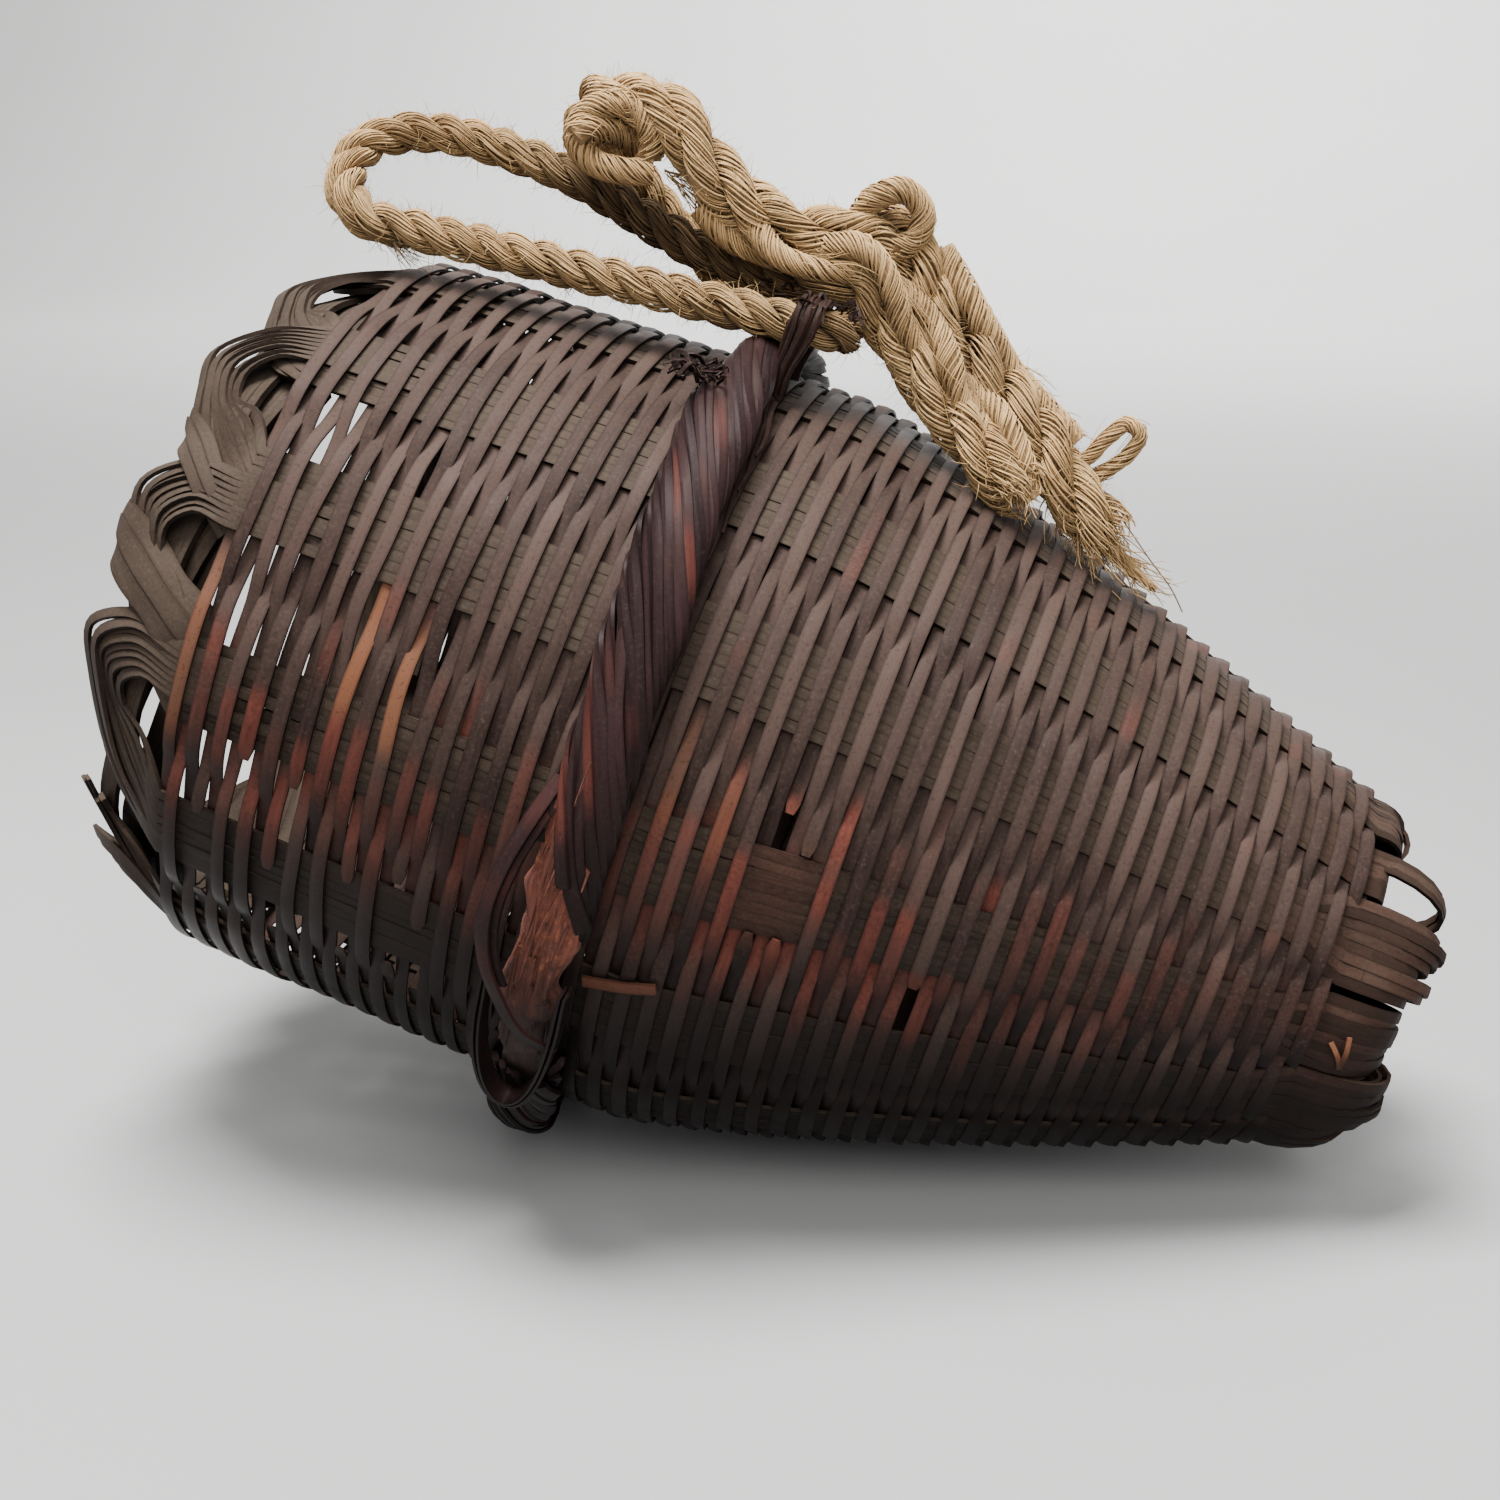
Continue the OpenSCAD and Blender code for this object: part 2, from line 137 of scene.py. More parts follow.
# The rope: one length of three-strand hemp, laid by hand, doubled through the strap on the hoop.
# Its front half is the carrying loop, its back half has worked loose, and both ends fray out.
rope_d, lay_length = 10.0, 24.0
strand_n, yarns_per_strand = 3, 34
strand_ring, yarn_ring, yarn_r = 2.6, 2.1, 0.215
yarn_stray, yarn_lay = 7.2, 16.6
path_step = 1.2
loop_route = [
    (104.2, -10, 108), (104.2, -11, 108), (103.2, -13.4, 108), (101, -15.4, 108), (98, -16, 107.6),
    (88, -16, 106.7), (60, -16, 104.2), (30, -16, 101.6), (0, -16, 98.9), (-10, -16, 98), (-17, -13, 101),
    (-21, -6, 106), (-21, 2, 111.5), (-16, 8, 116), (-6, 11, 119), (10, 12, 120), (30, 10, 119),
    (45, 7, 116.5), (60, 4, 114), (74, 1, 113), (85, -2, 114), (92, -5, 116), (98, -7, 118), (104, -5, 118),
    (111, -4, 114), (122, -7, 106), (136, -12, 97), (147, -15, 91), (155, -17, 88)]
tail_route = [
    (104.2, -10, 108), (104.2, -9, 108), (103.2, -6.6, 108), (101, -3.8, 108), (97, 0, 108), (92, 5, 108),
    (86, 11, 107.5), (78, 16, 106.5), (69, 19, 107.5), (60, 21, 111), (51, 20, 116), (43, 17, 122),
    (35, 12, 127), (29, 6, 132), (32, 0, 138), (43, -3, 141), (54, -4, 139), (63, -5, 132), (73, -5, 127),
    (86, -4, 125), (96, -3, 127.5), (104, -1, 131), (113, 0, 127), (121, 0, 120), (132, -2, 112.5),
    (143, -4, 105.5), (154, -6, 98), (164, -8, 90.5), (177, -9, 83)]
rest_tilt = math.radians(17.5)
rest_point = np.array((107.577, -2.0725, -126.543))


def turned(v):
    """A direction along the basket (mouth to base, away from the camera, up) in the row frame."""
    v = np.asarray(v, float)
    c, s = math.cos(rest_tilt), math.sin(rest_tilt)
    return np.stack([v[..., 0] * c + v[..., 2] * s, v[..., 1], v[..., 2] * c - v[..., 0] * s], -1)


def lying(p):
    """A point on the basket in its own millimetres, in the row frame in metres."""
    return (turned(p) - rest_point) / 1000


def unit(v):
    return v / np.maximum(np.linalg.norm(v, axis=-1, keepdims=True), 1e-12)


def eased(x, low, high):
    f = np.clip((x - low) / (high - low), 0, 1)
    return f * f * (3 - 2 * f)


def between(x, start, full, fade, end):
    """Rises from 0 to 1 from start to full and falls back from fade to end."""
    return eased(x, start, full) * (1 - eased(x, fade, end))


def swung(angle, a, b):
    """The direction a, swung toward b by an angle at each place."""
    return np.cos(angle)[:, None] * a + np.sin(angle)[:, None] * b


def smooth_run(points, step):
    """A smooth line through the points, with places about a step apart."""
    p = np.asarray(points, float)
    t = np.r_[0, np.cumsum(np.linalg.norm(np.diff(p, axis=0), axis=1))]
    slope = np.gradient(p, t, axis=0)
    at = np.linspace(0, t[-1], max(3, int(t[-1] / step) + 1))
    i = np.clip(np.searchsorted(t, at, "right") - 1, 0, len(t) - 2)
    h = (t[i + 1] - t[i])[:, None]
    f = ((at - t[i]) / (t[i + 1] - t[i]))[:, None]
    return ((1 + 2 * f) * (1 - f) ** 2 * p[i] + f * (1 - f) ** 2 * h * slope[i]
            + f * f * (3 - 2 * f) * p[i + 1] - f * f * (1 - f) * h * slope[i + 1])


def carried_frame(p):
    """Two directions square to a line at each place, which don't twist on the way."""
    along = unit(np.gradient(p, axis=0))
    side = np.zeros_like(p)
    last = np.cross(along[0], (0.3, 0.1, 1.0))
    for i in range(len(p)):
        last = last - along[i] * (last @ along[i])
        last = last / np.linalg.norm(last)
        side[i] = last
    return side, np.cross(along, side)


def drift(rng, n, every, size):
    """A slow random change along n places, with a new value about every so many of them."""
    knots = rng.normal(0, size, max(4, int(n / every) + 3))
    at = np.linspace(0, len(knots) - 1.001, n)
    i = at.astype(int)
    f = at - i
    f = f * f * (3 - 2 * f)
    return knots[i] * (1 - f) + knots[i + 1] * f


def path_object(name, runs):
    """Lines of points with what the sweep and the finish read at each point, as an edge mesh."""
    places, edges, first = [], [], 0
    for run in runs:
        n = len(run["points"])
        places.append(run["points"])
        edges += [(first + i, first + i + 1) for i in range(n - 1)]
        if run.get("closed"):
            edges.append((first + n - 1, first))
        first += n
    mesh = bpy.data.meshes.new(name)
    mesh.from_pydata(np.vstack(places).tolist(), edges, [])
    for key, usual in (("girth", 1.0), ("tone", 0.0), ("worn", 0.0), ("bare", 0.0)):
        values = [np.broadcast_to(run.get(key, usual), len(run["points"])) for run in runs]
        values = np.concatenate(values).astype(np.float32)
        mesh.attributes.new(key, "FLOAT", "POINT").data.foreach_set("value", values)
    facing = [np.broadcast_to(run.get("facing", (0.0, 0.0, 1.0)), run["points"].shape) for run in runs]
    facing = np.vstack(facing).astype(np.float32).ravel()
    mesh.attributes.new("facing", "FLOAT_VECTOR", "POINT").data.foreach_set("vector", facing)
    made = bpy.data.objects.new(name, mesh)
    scene.collection.objects.link(made)
    return made


def node_tree(name, inputs):
    made = bpy.data.node_groups.new(name, "GeometryNodeTree")
    made.interface.new_socket("Geometry", in_out="INPUT", socket_type="NodeSocketGeometry")
    for label, kind in inputs:
        made.interface.new_socket(label, in_out="INPUT", socket_type="NodeSocket" + kind)
    made.interface.new_socket("Geometry", in_out="OUTPUT", socket_type="NodeSocketGeometry")
    return made, made.nodes.new("NodeGroupInput").outputs, made.nodes.new("NodeGroupOutput").inputs[0]


def grown(piece, group, **sizes):
    """Runs a node tree on a piece and keeps its result as the piece's plain mesh."""
    keys = {i.name.lower(): i.identifier for i in group.interface.items_tree
            if i.item_type == "SOCKET" and i.in_out == "INPUT"}
    step = piece.modifiers.new("grow", "NODES")
    step.node_group = group
    for key, value in sizes.items():
        step[keys[key]] = value
    mesh = bpy.data.meshes.new_from_object(piece.evaluated_get(bpy.context.evaluated_depsgraph_get()))
    piece.modifiers.clear()
    old, piece.data = piece.data, mesh
    bpy.data.meshes.remove(old)
    mesh.name = piece.name
    if "facing" in mesh.attributes:
        mesh.attributes.remove(mesh.attributes["facing"])
    return piece


def fixed(piece, body, node=None):
    """A piece goes on its body, in the place of its solid where it has one."""
    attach(piece, body)
    if node:
        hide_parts(node)


def reckon(tree, operation, *values):
    """One step of arithmetic in a node tree."""
    return wire(tree, "ShaderNodeMath", dict(enumerate(values)), operation=operation).outputs[0]


def geo(group, kind, inputs=(), **settings):
    """A geometry node, by its first output."""
    return wire(group, "GeometryNode" + kind, inputs, **settings).outputs[0]


def vector(tree, x, y=0.0, z=0.0):
    return wire(tree, "ShaderNodeCombineXYZ", {0: x, 1: y, 2: z}).outputs[0]


def painted(group, start, end, shape):
    """The last nodes of a tree: real mesh with its finish on."""
    real = geo(group, "RealizeInstances", {"Geometry": shape})
    group.links.new(geo(group, "SetMaterial", {"Geometry": real, "Material": start["Material"]}), end)


def swept(group, start, end, line, profile, rough=None, crisp=False, over=None):
    """The profile goes along the line, and each place knows how far along and across it is."""
    run = wire(group, "GeometryNodeCaptureAttribute", {0: line}, domain="POINT")
    run.capture_items.new("FLOAT", "run")
    group.links.new(wire(group, "GeometryNodeSplineParameter").outputs["Length"], run.inputs[1])
    across = wire(group, "GeometryNodeCaptureAttribute", {0: profile}, domain="POINT")
    across.capture_items.new("FLOAT", "across")
    over = over or wire(group, "GeometryNodeSplineParameter").outputs["Factor"]
    group.links.new(over, across.inputs[1])
    girth = geo(group, "InputNamedAttribute", {"Name": "girth"}, data_type="FLOAT")
    shape = geo(group, "CurveToMesh", {
        "Curve": run.outputs[0], "Profile Curve": across.outputs[0], "Scale": girth, "Fill Caps": True})
    for name, value in (("run", run.outputs[1]), ("across", across.outputs[1])):
        shape = geo(group, "StoreNamedAttribute", {
            "Geometry": shape, "Name": name, "Value": value}, data_type="FLOAT", domain="POINT")
    if rough:
        where = vector(group, reckon(group, "MULTIPLY", run.outputs[1], 140.0),
                       reckon(group, "MULTIPLY", across.outputs[1], 16.0))
        crumb = noise(group, where, 1.0, 4.0, 0.65).outputs["Fac"]
        high = reckon(group, "MULTIPLY", reckon(group, "SUBTRACT", crumb, 0.5), rough)
        out = geo(group, "InputNormal")
        push = wire(group, "ShaderNodeVectorMath", {0: out, "Scale": high}, operation="SCALE").outputs[0]
        shape = geo(group, "SetPosition", {"Geometry": shape, "Offset": push})
    shape = geo(group, "SetShadeSmooth", {"Geometry": shape})
    if crisp:
        edge = reckon(group, "GREATER_THAN", geo(group, "InputMeshEdgeAngle"), 0.5)
        shape = geo(group, "SetShadeSmooth", {
            "Geometry": shape, "Selection": edge, "Shade Smooth": False}, domain="EDGE")
    painted(group, start, end, shape)


spun_yarn, start, end = node_tree("spun_yarn", [
    ("Radius", "Float"), ("Sides", "Int"), ("Material", "Material")])
line = geo(spun_yarn, "MeshToCurve", {"Mesh": start["Geometry"]})
ring = geo(spun_yarn, "CurvePrimitiveCircle", {
    "Resolution": start["Sides"], "Radius": start["Radius"]}, mode="RADIUS")
swept(spun_yarn, start, end, line, ring)

# Loose fibres that stand off the yarns as a short fuzz
loose_fibres, start, end = node_tree("loose_fibres", [
    ("Density", "Float"), ("Length", "Float"), ("Radius", "Float"), ("Seed", "Int"),
    ("Material", "Material")])
seed = start["Seed"]
spots = wire(loose_fibres, "GeometryNodeDistributePointsOnFaces", {
    "Mesh": start["Geometry"], "Density": start["Density"], "Seed": seed})
bow = geo(loose_fibres, "CurveQuadraticBezier", {
    "Resolution": 4, "Start": (0, 0, -0.1), "Middle": (0.05, 0, 0.5), "End": (0.55, 0.1, 0.9)})
taper = wire(loose_fibres, "GeometryNodeSplineParameter").outputs["Factor"]
thin = wire(loose_fibres, "ShaderNodeMapRange", {"Value": taper, "To Min": 1.0, "To Max": 0.25})
hair_r = reckon(loose_fibres, "DIVIDE", start["Radius"], start["Length"])
ring = geo(loose_fibres, "CurvePrimitiveCircle", {"Resolution": 3, "Radius": hair_r}, mode="RADIUS")
hair = geo(loose_fibres, "CurveToMesh", {
    "Curve": bow, "Profile Curve": ring, "Scale": thin.outputs[0], "Fill Caps": True})
spin = wire(loose_fibres, "FunctionNodeRandomValue", {
    0: (-1.1, -1.1, -3.14), 1: (1.1, 1.1, 3.14), "Seed": seed}, data_type="FLOAT_VECTOR")
share = wire(loose_fibres, "FunctionNodeRandomValue", {2: 0.35, 3: 1.0, "Seed": seed}, data_type="FLOAT")
size = reckon(loose_fibres, "MULTIPLY", share.outputs[1], start["Length"])
hairs = geo(loose_fibres, "InstanceOnPoints", {
    "Points": spots.outputs["Points"], "Instance": hair, "Scale": size,
    "Rotation": spots.outputs["Rotation"]})
bent = geo(loose_fibres, "RotateInstances", {"Instances": hairs, "Rotation": spin.outputs[0]})
painted(loose_fibres, start, end, bent)


def attribute(tree, name):
    return wire(tree, "ShaderNodeAttribute", attribute_name=name, attribute_type="GEOMETRY").outputs["Fac"]


def grain(tree, along, across, tone, detail, roughness):
    """A pattern that runs with the piece, with how fast it changes along it, across it and with its tone."""
    scales = (("run", along), ("across", across), ("tone", tone))
    at = [reckon(tree, "MULTIPLY", attribute(tree, name), scale) for name, scale in scales]
    return noise(tree, vector(tree, *at), 1.0, detail, roughness)


def ramp(tree, value, low, high, out_low=0.0, out_high=1.0):
    return wire(tree, "ShaderNodeMapRange", {
        "Value": value, "From Min": low, "From Max": high, "To Min": out_low, "To Max": out_high}).outputs[0]


def tinted(tree, colour, other, value, low, high, out_low=0.0, out_high=1.0):
    """A colour that turns to another, by a share that goes with a value."""
    return blend(tree, ramp(tree, value, low, high, out_low, out_high), colour, other)


def upward(tree):
    """How far the surface faces up, from 1 to -1."""
    normal = wire(tree, "ShaderNodeNewGeometry").outputs["Normal"]
    return wire(tree, "ShaderNodeSeparateXYZ", {0: normal}).outputs["Z"]


def finish(tree, shader, colour, height, strength, depth):
    """Puts the colour and the fine relief on a shader."""
    tree.links.new(colour, shader.inputs["Base Color"])
    bump = wire(tree, "ShaderNodeBump", {"Height": height, "Strength": strength, "Distance": depth})
    tree.links.new(bump.outputs["Normal"], shader.inputs["Normal"])


fibre_dark, fibre_pale = (0.22, 0.112, 0.038, 1), (0.80, 0.515, 0.235, 1)
hemp_clean, hemp_damp = (0.72, 0.46, 0.205, 1), (0.13, 0.066, 0.023, 1)
soil_and_shade_dark, soil_and_shade_pale = (0.022, 0.011, 0.005, 1), (0.095, 0.050, 0.021, 1)
hemp_painted_shade = (0.050, 0.024, 0.009, 1)
hemp, tree, shader = material(
    "hemp_rope", Roughness=0.92, Sheen_Weight=0.12, Sheen_Roughness=0.6, Sheen_Tint=(0.9, 0.75, 0.5, 1),
    Specular_IOR_Level=0.25)
fibre = grain(tree, 160.0, 9.0, 83.0, 4.0, 0.65).outputs["Fac"]
cloud = noise(tree, object_place(tree), 90.0, 3.0).outputs["Fac"]
tan = tinted(tree, fibre_dark, fibre_pale, fibre, 0.32, 0.68)
tan = tinted(tree, tan, hemp_clean, attribute(tree, "tone"), -1.0, 1.0, 0.0, 0.75)
tan = tinted(tree, tan, hemp_damp, cloud, 0.50, 0.72, 0.0, 0.6)
# The soil colour stands for real stains and for painted shade in the crevices and strand cores.
soil_and_shade = tinted(tree, soil_and_shade_dark, soil_and_shade_pale, fibre, 0.3, 0.7)
colour = blend(tree, attribute(tree, "worn"), tan, soil_and_shade)
# Painted shade: the rope turns dark brown the more its surface faces down.
colour = tinted(tree, colour, hemp_painted_shade, upward(tree), -0.75, 0.3, 0.75, 0.0)
finish(tree, shader, colour, fibre, 0.55, 0.0004)

# The strands lie close in the loop. They open in the tail from its curl on, and in the loop's own end
rng = np.random.default_rng(41)
whole = smooth_run(tail_route[::-1] + loop_route[1:], path_step)
n = len(whole)
side, lift = carried_frame(whole)
stride = np.r_[0, np.cumsum(np.linalg.norm(np.diff(whole, axis=0), axis=1))]
split = int(np.argmin(np.linalg.norm(whole - np.array(loop_route[0]), axis=1)))
from_bight = stride - stride[split]
loop_l, tail_l = from_bight[-1], -from_bight[0]
opened = eased(-from_bight, 75, 130) + eased(from_bight, loop_l - 85, loop_l - 45)
frayed = eased(-from_bight, tail_l - 16, tail_l) + eased(from_bight, loop_l - 14, loop_l)
# The rope is darker brown near the strap and along a stretch farther round the loop.
darker_stretch = 0.9 * between(from_bight, 170, 215, 255, 285) + 0.2 * between(from_bight, -4, 4, 20, 100)
darker_stretch = np.clip(darker_stretch + 0.3 * np.exp(-((from_bight - 3) / 14) ** 2), 0, 1)
turn = np.cumsum(math.tau * path_step / (lay_length * (1 + 0.75 * opened)))
yarns = []
for strand in range(strand_n):
    phase = turn + strand * math.tau / strand_n + drift(rng, n, 14, 0.10) * (1 + 2 * opened)
    radial = swung(phase, side, lift)
    away = strand_ring * (1 + 0.38 * opened + opened * np.clip(drift(rng, n, 12, 0.12), -0.17, 0.17))
    core = whole + away[:, None] * radial
    strand_along = unit(np.gradient(core, axis=0))
    out = unit(radial - strand_along * (radial * strand_along).sum(1, keepdims=True))
    across = np.cross(strand_along, out)
    # Each strand's core yarn is painted darker, as shade inside the strand.
    yarns.append({
        "points": core, "cut": (2, 2), "tone": np.full(n, -1.0), "worn": np.clip(darker_stretch + 0.35, 0, 1),
        "girth": yarn_ring / yarn_r * (1 + 0.5 * opened) * 0.9 * (1 - 0.6 * frayed)})
    for yarn in range(yarns_per_strand):
        spin = yarn * math.tau / yarns_per_strand - math.tau * stride / yarn_lay
        spin = spin + drift(rng, n, 8, 0.17)
        off = yarn_ring * (1 + 0.52 * opened) + drift(rng, n, 4, 0.10) * (1 + opened)
        off = off + frayed * rng.uniform(-0.6, 0.7)
        place = core + off[:, None] * swung(spin, out, across)
        place = place + frayed[:, None] * np.stack([drift(rng, n, 5, 0.5) for _ in range(3)], 1)
        stray = np.linalg.norm(place - whole, axis=1, keepdims=True)
        place = whole + (place - whole) * np.minimum(1, yarn_stray / np.maximum(stray, 1e-9))
        # Painted shade: yarns on the inner side of each strand get more of the soil colour, as shade in the
        # crevices.
        crevice_shade = 0.5 * eased(-np.cos(spin), -0.2, 0.5)
        yarns.append({
            "points": place, "cut": rng.integers(0, 3, 2),
            "girth": (1 + 0.45 * opened + drift(rng, n, 5, 0.13)) * (1 - 0.35 * frayed),
            "tone": np.full(n, rng.uniform(-1, 1)) - 0.1 + 0.9 * opened,
            "worn": np.clip(darker_stretch + drift(rng, n, 30, 0.12) + crevice_shade, 0, 1)})


def lone_strand(route, ring, yarn_n, tone, worn=0.0, taper=0.0):
    """One strand of the rope on its own: yarns wound round a core."""
    line = smooth_run(route, path_step)
    right, up = carried_frame(line)
    m = len(line)
    f = np.linspace(0, 1, m)
    slim = (1 - taper * eased(f, 0.3, 1.0)) * (1 + drift(rng, m, 8, 0.06))
    turns = np.arange(m) * path_step * math.tau / yarn_lay
    # The core yarn is painted darker, as shade inside the strand.
    runs = [{"points": lying(line), "girth": ring / yarn_r * 0.95 * slim, "tone": -1.0,
             "worn": worn * 0.7 + 0.3}]
    for yarn in range(yarn_n):
        spin = yarn * math.tau / yarn_n + turns + drift(rng, m, 8, 0.2)
        off = ring * slim + drift(rng, m, 5, 0.1) + 0.5 * eased(f, 0.85, 1.0) * rng.uniform(-1, 1)
        place = line + off[:, None] * swung(spin, right, up)
        keep = m - rng.integers(0, 4)
        runs.append({"points": lying(place[:keep]), "girth": (1.05 + drift(rng, m, 6, 0.08))[:keep],
                     "tone": tone + rng.uniform(-0.6, 0.6), "worn": worn})
    return runs


def fray(route, spread, count, girth, tone, soiled=0.0):
    """Single yarns that leave a route one by one and curl away from it."""
    line = smooth_run(route, path_step)
    m = len(line)
    runs = []
    for _ in range(count):
        first, last = sorted(rng.integers(0, m, 2))
        last = min(m, max(last, first + 8))
        first = max(0, last - max(8, last - first))
        f = np.linspace(0, 1, last - first)[:, None]
        lean, curl = rng.normal(0, spread, 3), rng.normal(0, spread * 0.35, 3)
        place = line[first:last] + lean * f + curl * np.sin(f * rng.uniform(3, 8))
        place = place + rng.normal(0, spread * 0.25, 3)
        runs.append({"points": lying(place), "girth": girth * (1 - 0.6 * f[:, 0]) * rng.uniform(0.8, 1.7),
                     "tone": tone + rng.uniform(-0.6, 0.6), "worn": rng.uniform(0, 0.25) + soiled})
    return runs


def wound(route, off, lay, start):
    """A route that winds round another one."""
    line = smooth_run(route, path_step)
    right, up = carried_frame(line)
    spin = start + np.arange(len(line)) * path_step * math.tau / lay
    return line + off * swung(spin, right, up)


curl_route = [(49.9, -6, 127.8), (43.3, -8, 126), (35.7, -9, 126.2), (31.2, -9, 130), (32, -8, 135.6),
              (37, -7, 139.6), (43.2, -6, 140), (47.4, -6, 136.2), (48, -5, 130.2)]
knob_route = [(44, 2, 131), (40.1, -1, 132.5), (36.4, -6, 133.2), (33.4, -10, 132.2), (31.8, -12, 129.8)]
fluff_route = [(-5, -15, 94.5), (-1, -18, 95), (3, -20, 94.5), (6, -20, 94)]
end_route = [(118, 2, 131), (125.8, -2, 124.9), (140.2, -3, 112.8), (150.8, -3, 106.2), (161.5, -4, 100.8)]
lump_route = [(97, -1, 131), (100.5, -4, 138), (106, -5, 141.5), (111.5, -4, 138.5), (112, -4, 132),
              (107, -5, 128)]
ear_route = [(156, -6, 91.5), (164.7, -6, 98), (168.2, -6, 105), (171.1, -6, 109), (174.4, -6, 107.4),
             (173.6, -6, 102.8), (169, -6, 96.2), (163.6, -6, 89.9)]
mass_route = [(64, -4, 125), (74, -6, 121.5), (84, -8, 119.5), (94, -9, 122), (102, -9, 124.5),
              (111, -8, 121), (121, -9, 113.5), (133, -11, 105), (145, -12, 97.5), (154, -13, 92.5)]
clump_route = [(157, -7, 95), (165.4, -8, 88), (172, -8.5, 82), (176.4, -8, 78.5)]
tip_route = [(166, -7, 90.5), (177.1, -7, 81.5), (185.6, -7, 77.2), (190.1, -7, 75.8)]
hair_route = [(168, -6, 94.9), (174.2, -6, 90.3), (180.8, -6, 85.5), (186.7, -6, 81.2), (193.5, -6, 76.5),
              (197.5, -6, 72.5)]
hang_route = [(52, -2, 128.5), (60, -2, 125), (66, -2, 121), (72, -2, 117.5)]
brush_route = [(131, -11, 104), (142, -13, 97), (150, -15, 92), (157, -16, 87.5)]
left_route = [(139, -12, 95.5), (147, -15, 91), (153, -17, 88.5), (156, -18, 86.5)]
loose_parts = {"rope_loop": [], "rope_tail": []}
for name, runs in (
        ("rope_tail_curl", lone_strand(curl_route, 3.0, 27, 0.3, 0.05) + fray(curl_route, 2.0, 44, 0.5, 0.2)),
        ("rope_tail_knob", lone_strand(knob_route, 3.1, 27, 0.5) + fray(knob_route, 2.2, 44, 0.5, 0.4)),
        ("rope_loop_fluff", fray(fluff_route, 2.2, 46, 0.45, -1.0, soiled=0.7)),
        ("rope_tail_end", lone_strand(end_route, 3.0, 27, 0.2, 0.1) + fray(end_route[2:], 2.2, 70, 0.6, 0.0)),
        ("rope_tail_lump", lone_strand(lump_route, 2.9, 27, 0.4) + fray(lump_route, 2.0, 44, 0.5, 0.3)),
        ("rope_tail_ear", lone_strand(ear_route, 1.5, 15, 0.6) + fray(ear_route, 1.6, 26, 0.6, 0.5)),
        ("rope_tail_mass", lone_strand(wound(mass_route, 3.0, 52, 0.6), 2.7, 26, 0.3, 0.05)
         + lone_strand(wound(mass_route, 3.0, 52, 3.7), 2.7, 26, 0.1, 0.1)
         + fray(mass_route, 2.8, 160, 0.45, 0.2)),
        ("rope_tail_clump", fray(clump_route, 3.7, 240, 0.8, 0.0)),
        ("rope_tail_tip", lone_strand(tip_route, 2.2, 21, 0.3, 0.0, 0.7)
         + fray(tip_route, 2.2, 130, 0.7, 0.2)),
        ("rope_tail_hair", [{"points": lying(smooth_run(hair_route, 1.5)), "girth": 0.75, "tone": -0.5,
                             "worn": 0.75}]),
        ("rope_tail_hang", fray(hang_route, 2.2, 36, 0.6, 0.1)),
        ("rope_loop_fray", lone_strand(brush_route, 3.2, 30, 0.2, 0.05)
         + fray(left_route, 2.8, 140, 0.9, 0.1))):
    part = grown(path_object(name, runs), spun_yarn, radius=yarn_r / 1000, sides=4, material=hemp)
    fixed(part, "rope")
    loose_parts["rope_loop" if "loop" in name else "rope_tail"].append(part)

for node, near, far in (("rope_loop", split, n), ("rope_tail", 0, split + 1)):
    runs = []
    for yarn in yarns:
        first = yarn["cut"][0] if near == 0 else near
        last = n - yarn["cut"][1] if far == n else far
        runs.append({"points": lying(yarn["points"][first:last])}
                    | {key: yarn[key][first:last] for key in ("girth", "tone", "worn")})
    rope = path_object(node + "_strands", runs)
    rope = grown(rope, spun_yarn, radius=yarn_r / 1000, sides=3, material=hemp)
    fuzz = bpy.data.objects.new(node + "_fuzz", rope.data.copy())
    scene.collection.objects.link(fuzz)
    fuzz = grown(fuzz, loose_fibres, density=1e5, length=0.0045, radius=0.0001, seed=3, material=hemp)
    fixed(fuzz, "rope")
    fixed(rope, "rope", node)

# The stakes: fourteen slats of old split bamboo, each slit into narrow splints that stay side by side.
# They run from the folded base up the wall, arch over at the mouth and are tucked in at the next stake.
stake_n, splint_n = 14, 8
stake_w, splint_t = 20.0, 0.9
splint_size = (stake_w / splint_n + 0.02, splint_t, 0.06)
mouth_r, belly_r, base_r = 88.0, 91.5, 43.0
belly_u, body_l, fold_u = 112.0, 256.0, 258.0
wall_curve = 1.25
weaver_pitch = 3.0
arch_lean, arch_high, arch_slant = 0.5, 21.0, 6.0
rim_high, rim_rise_n, rim_run_n = 22.0, 13, 22
stake_turn = math.radians(-8.8)
stake_nudge = {4: -1.2, 5: 1.2, 6: -0.5}
base_folds = {2: [(8.5, 15), (6.5, 12)], 3: [(9, 19), (7.2, 16), (5.4, 13)], 4: [(9.5, 15)],
              5: [(9, 17.5), (6.5, 13)], 6: [(11.5, 18)], 7: [(5, 5)], 8: [(5, 6)]}
base_fan = {5: 1.2, 6: 0.3}
base_ragged = {5: 1.6}
short_stake, short_splints = 6, 5
snapped_arch, scuffed_stake = 2, 4
mouthward = np.array((-1.0, 0, 0))


def wall_r(u):
    """The wall's distance from the axis: it swells from the mouth to the belly and narrows to the base."""
    u = np.asarray(u, float)
    before = belly_r - (belly_r - mouth_r) * ((belly_u - u) / belly_u) ** 2
    after = belly_r - (belly_r - base_r) * (np.maximum(u - belly_u, 0) / (body_l - belly_u)) ** wall_curve
    return np.where(u < belly_u, before, after)


def round_at(u, r, a):
    """A place on the basket by its distance from the mouth, from the axis and its angle from the top."""
    u, r, a = np.broadcast_arrays(np.asarray(u, float), r, a)
    return np.stack([u, r * np.sin(a), r * np.cos(a)], -1)


def outward(a):
    """The direction straight out from the basket's axis at an angle from the top."""
    return round_at(0, 1, a)


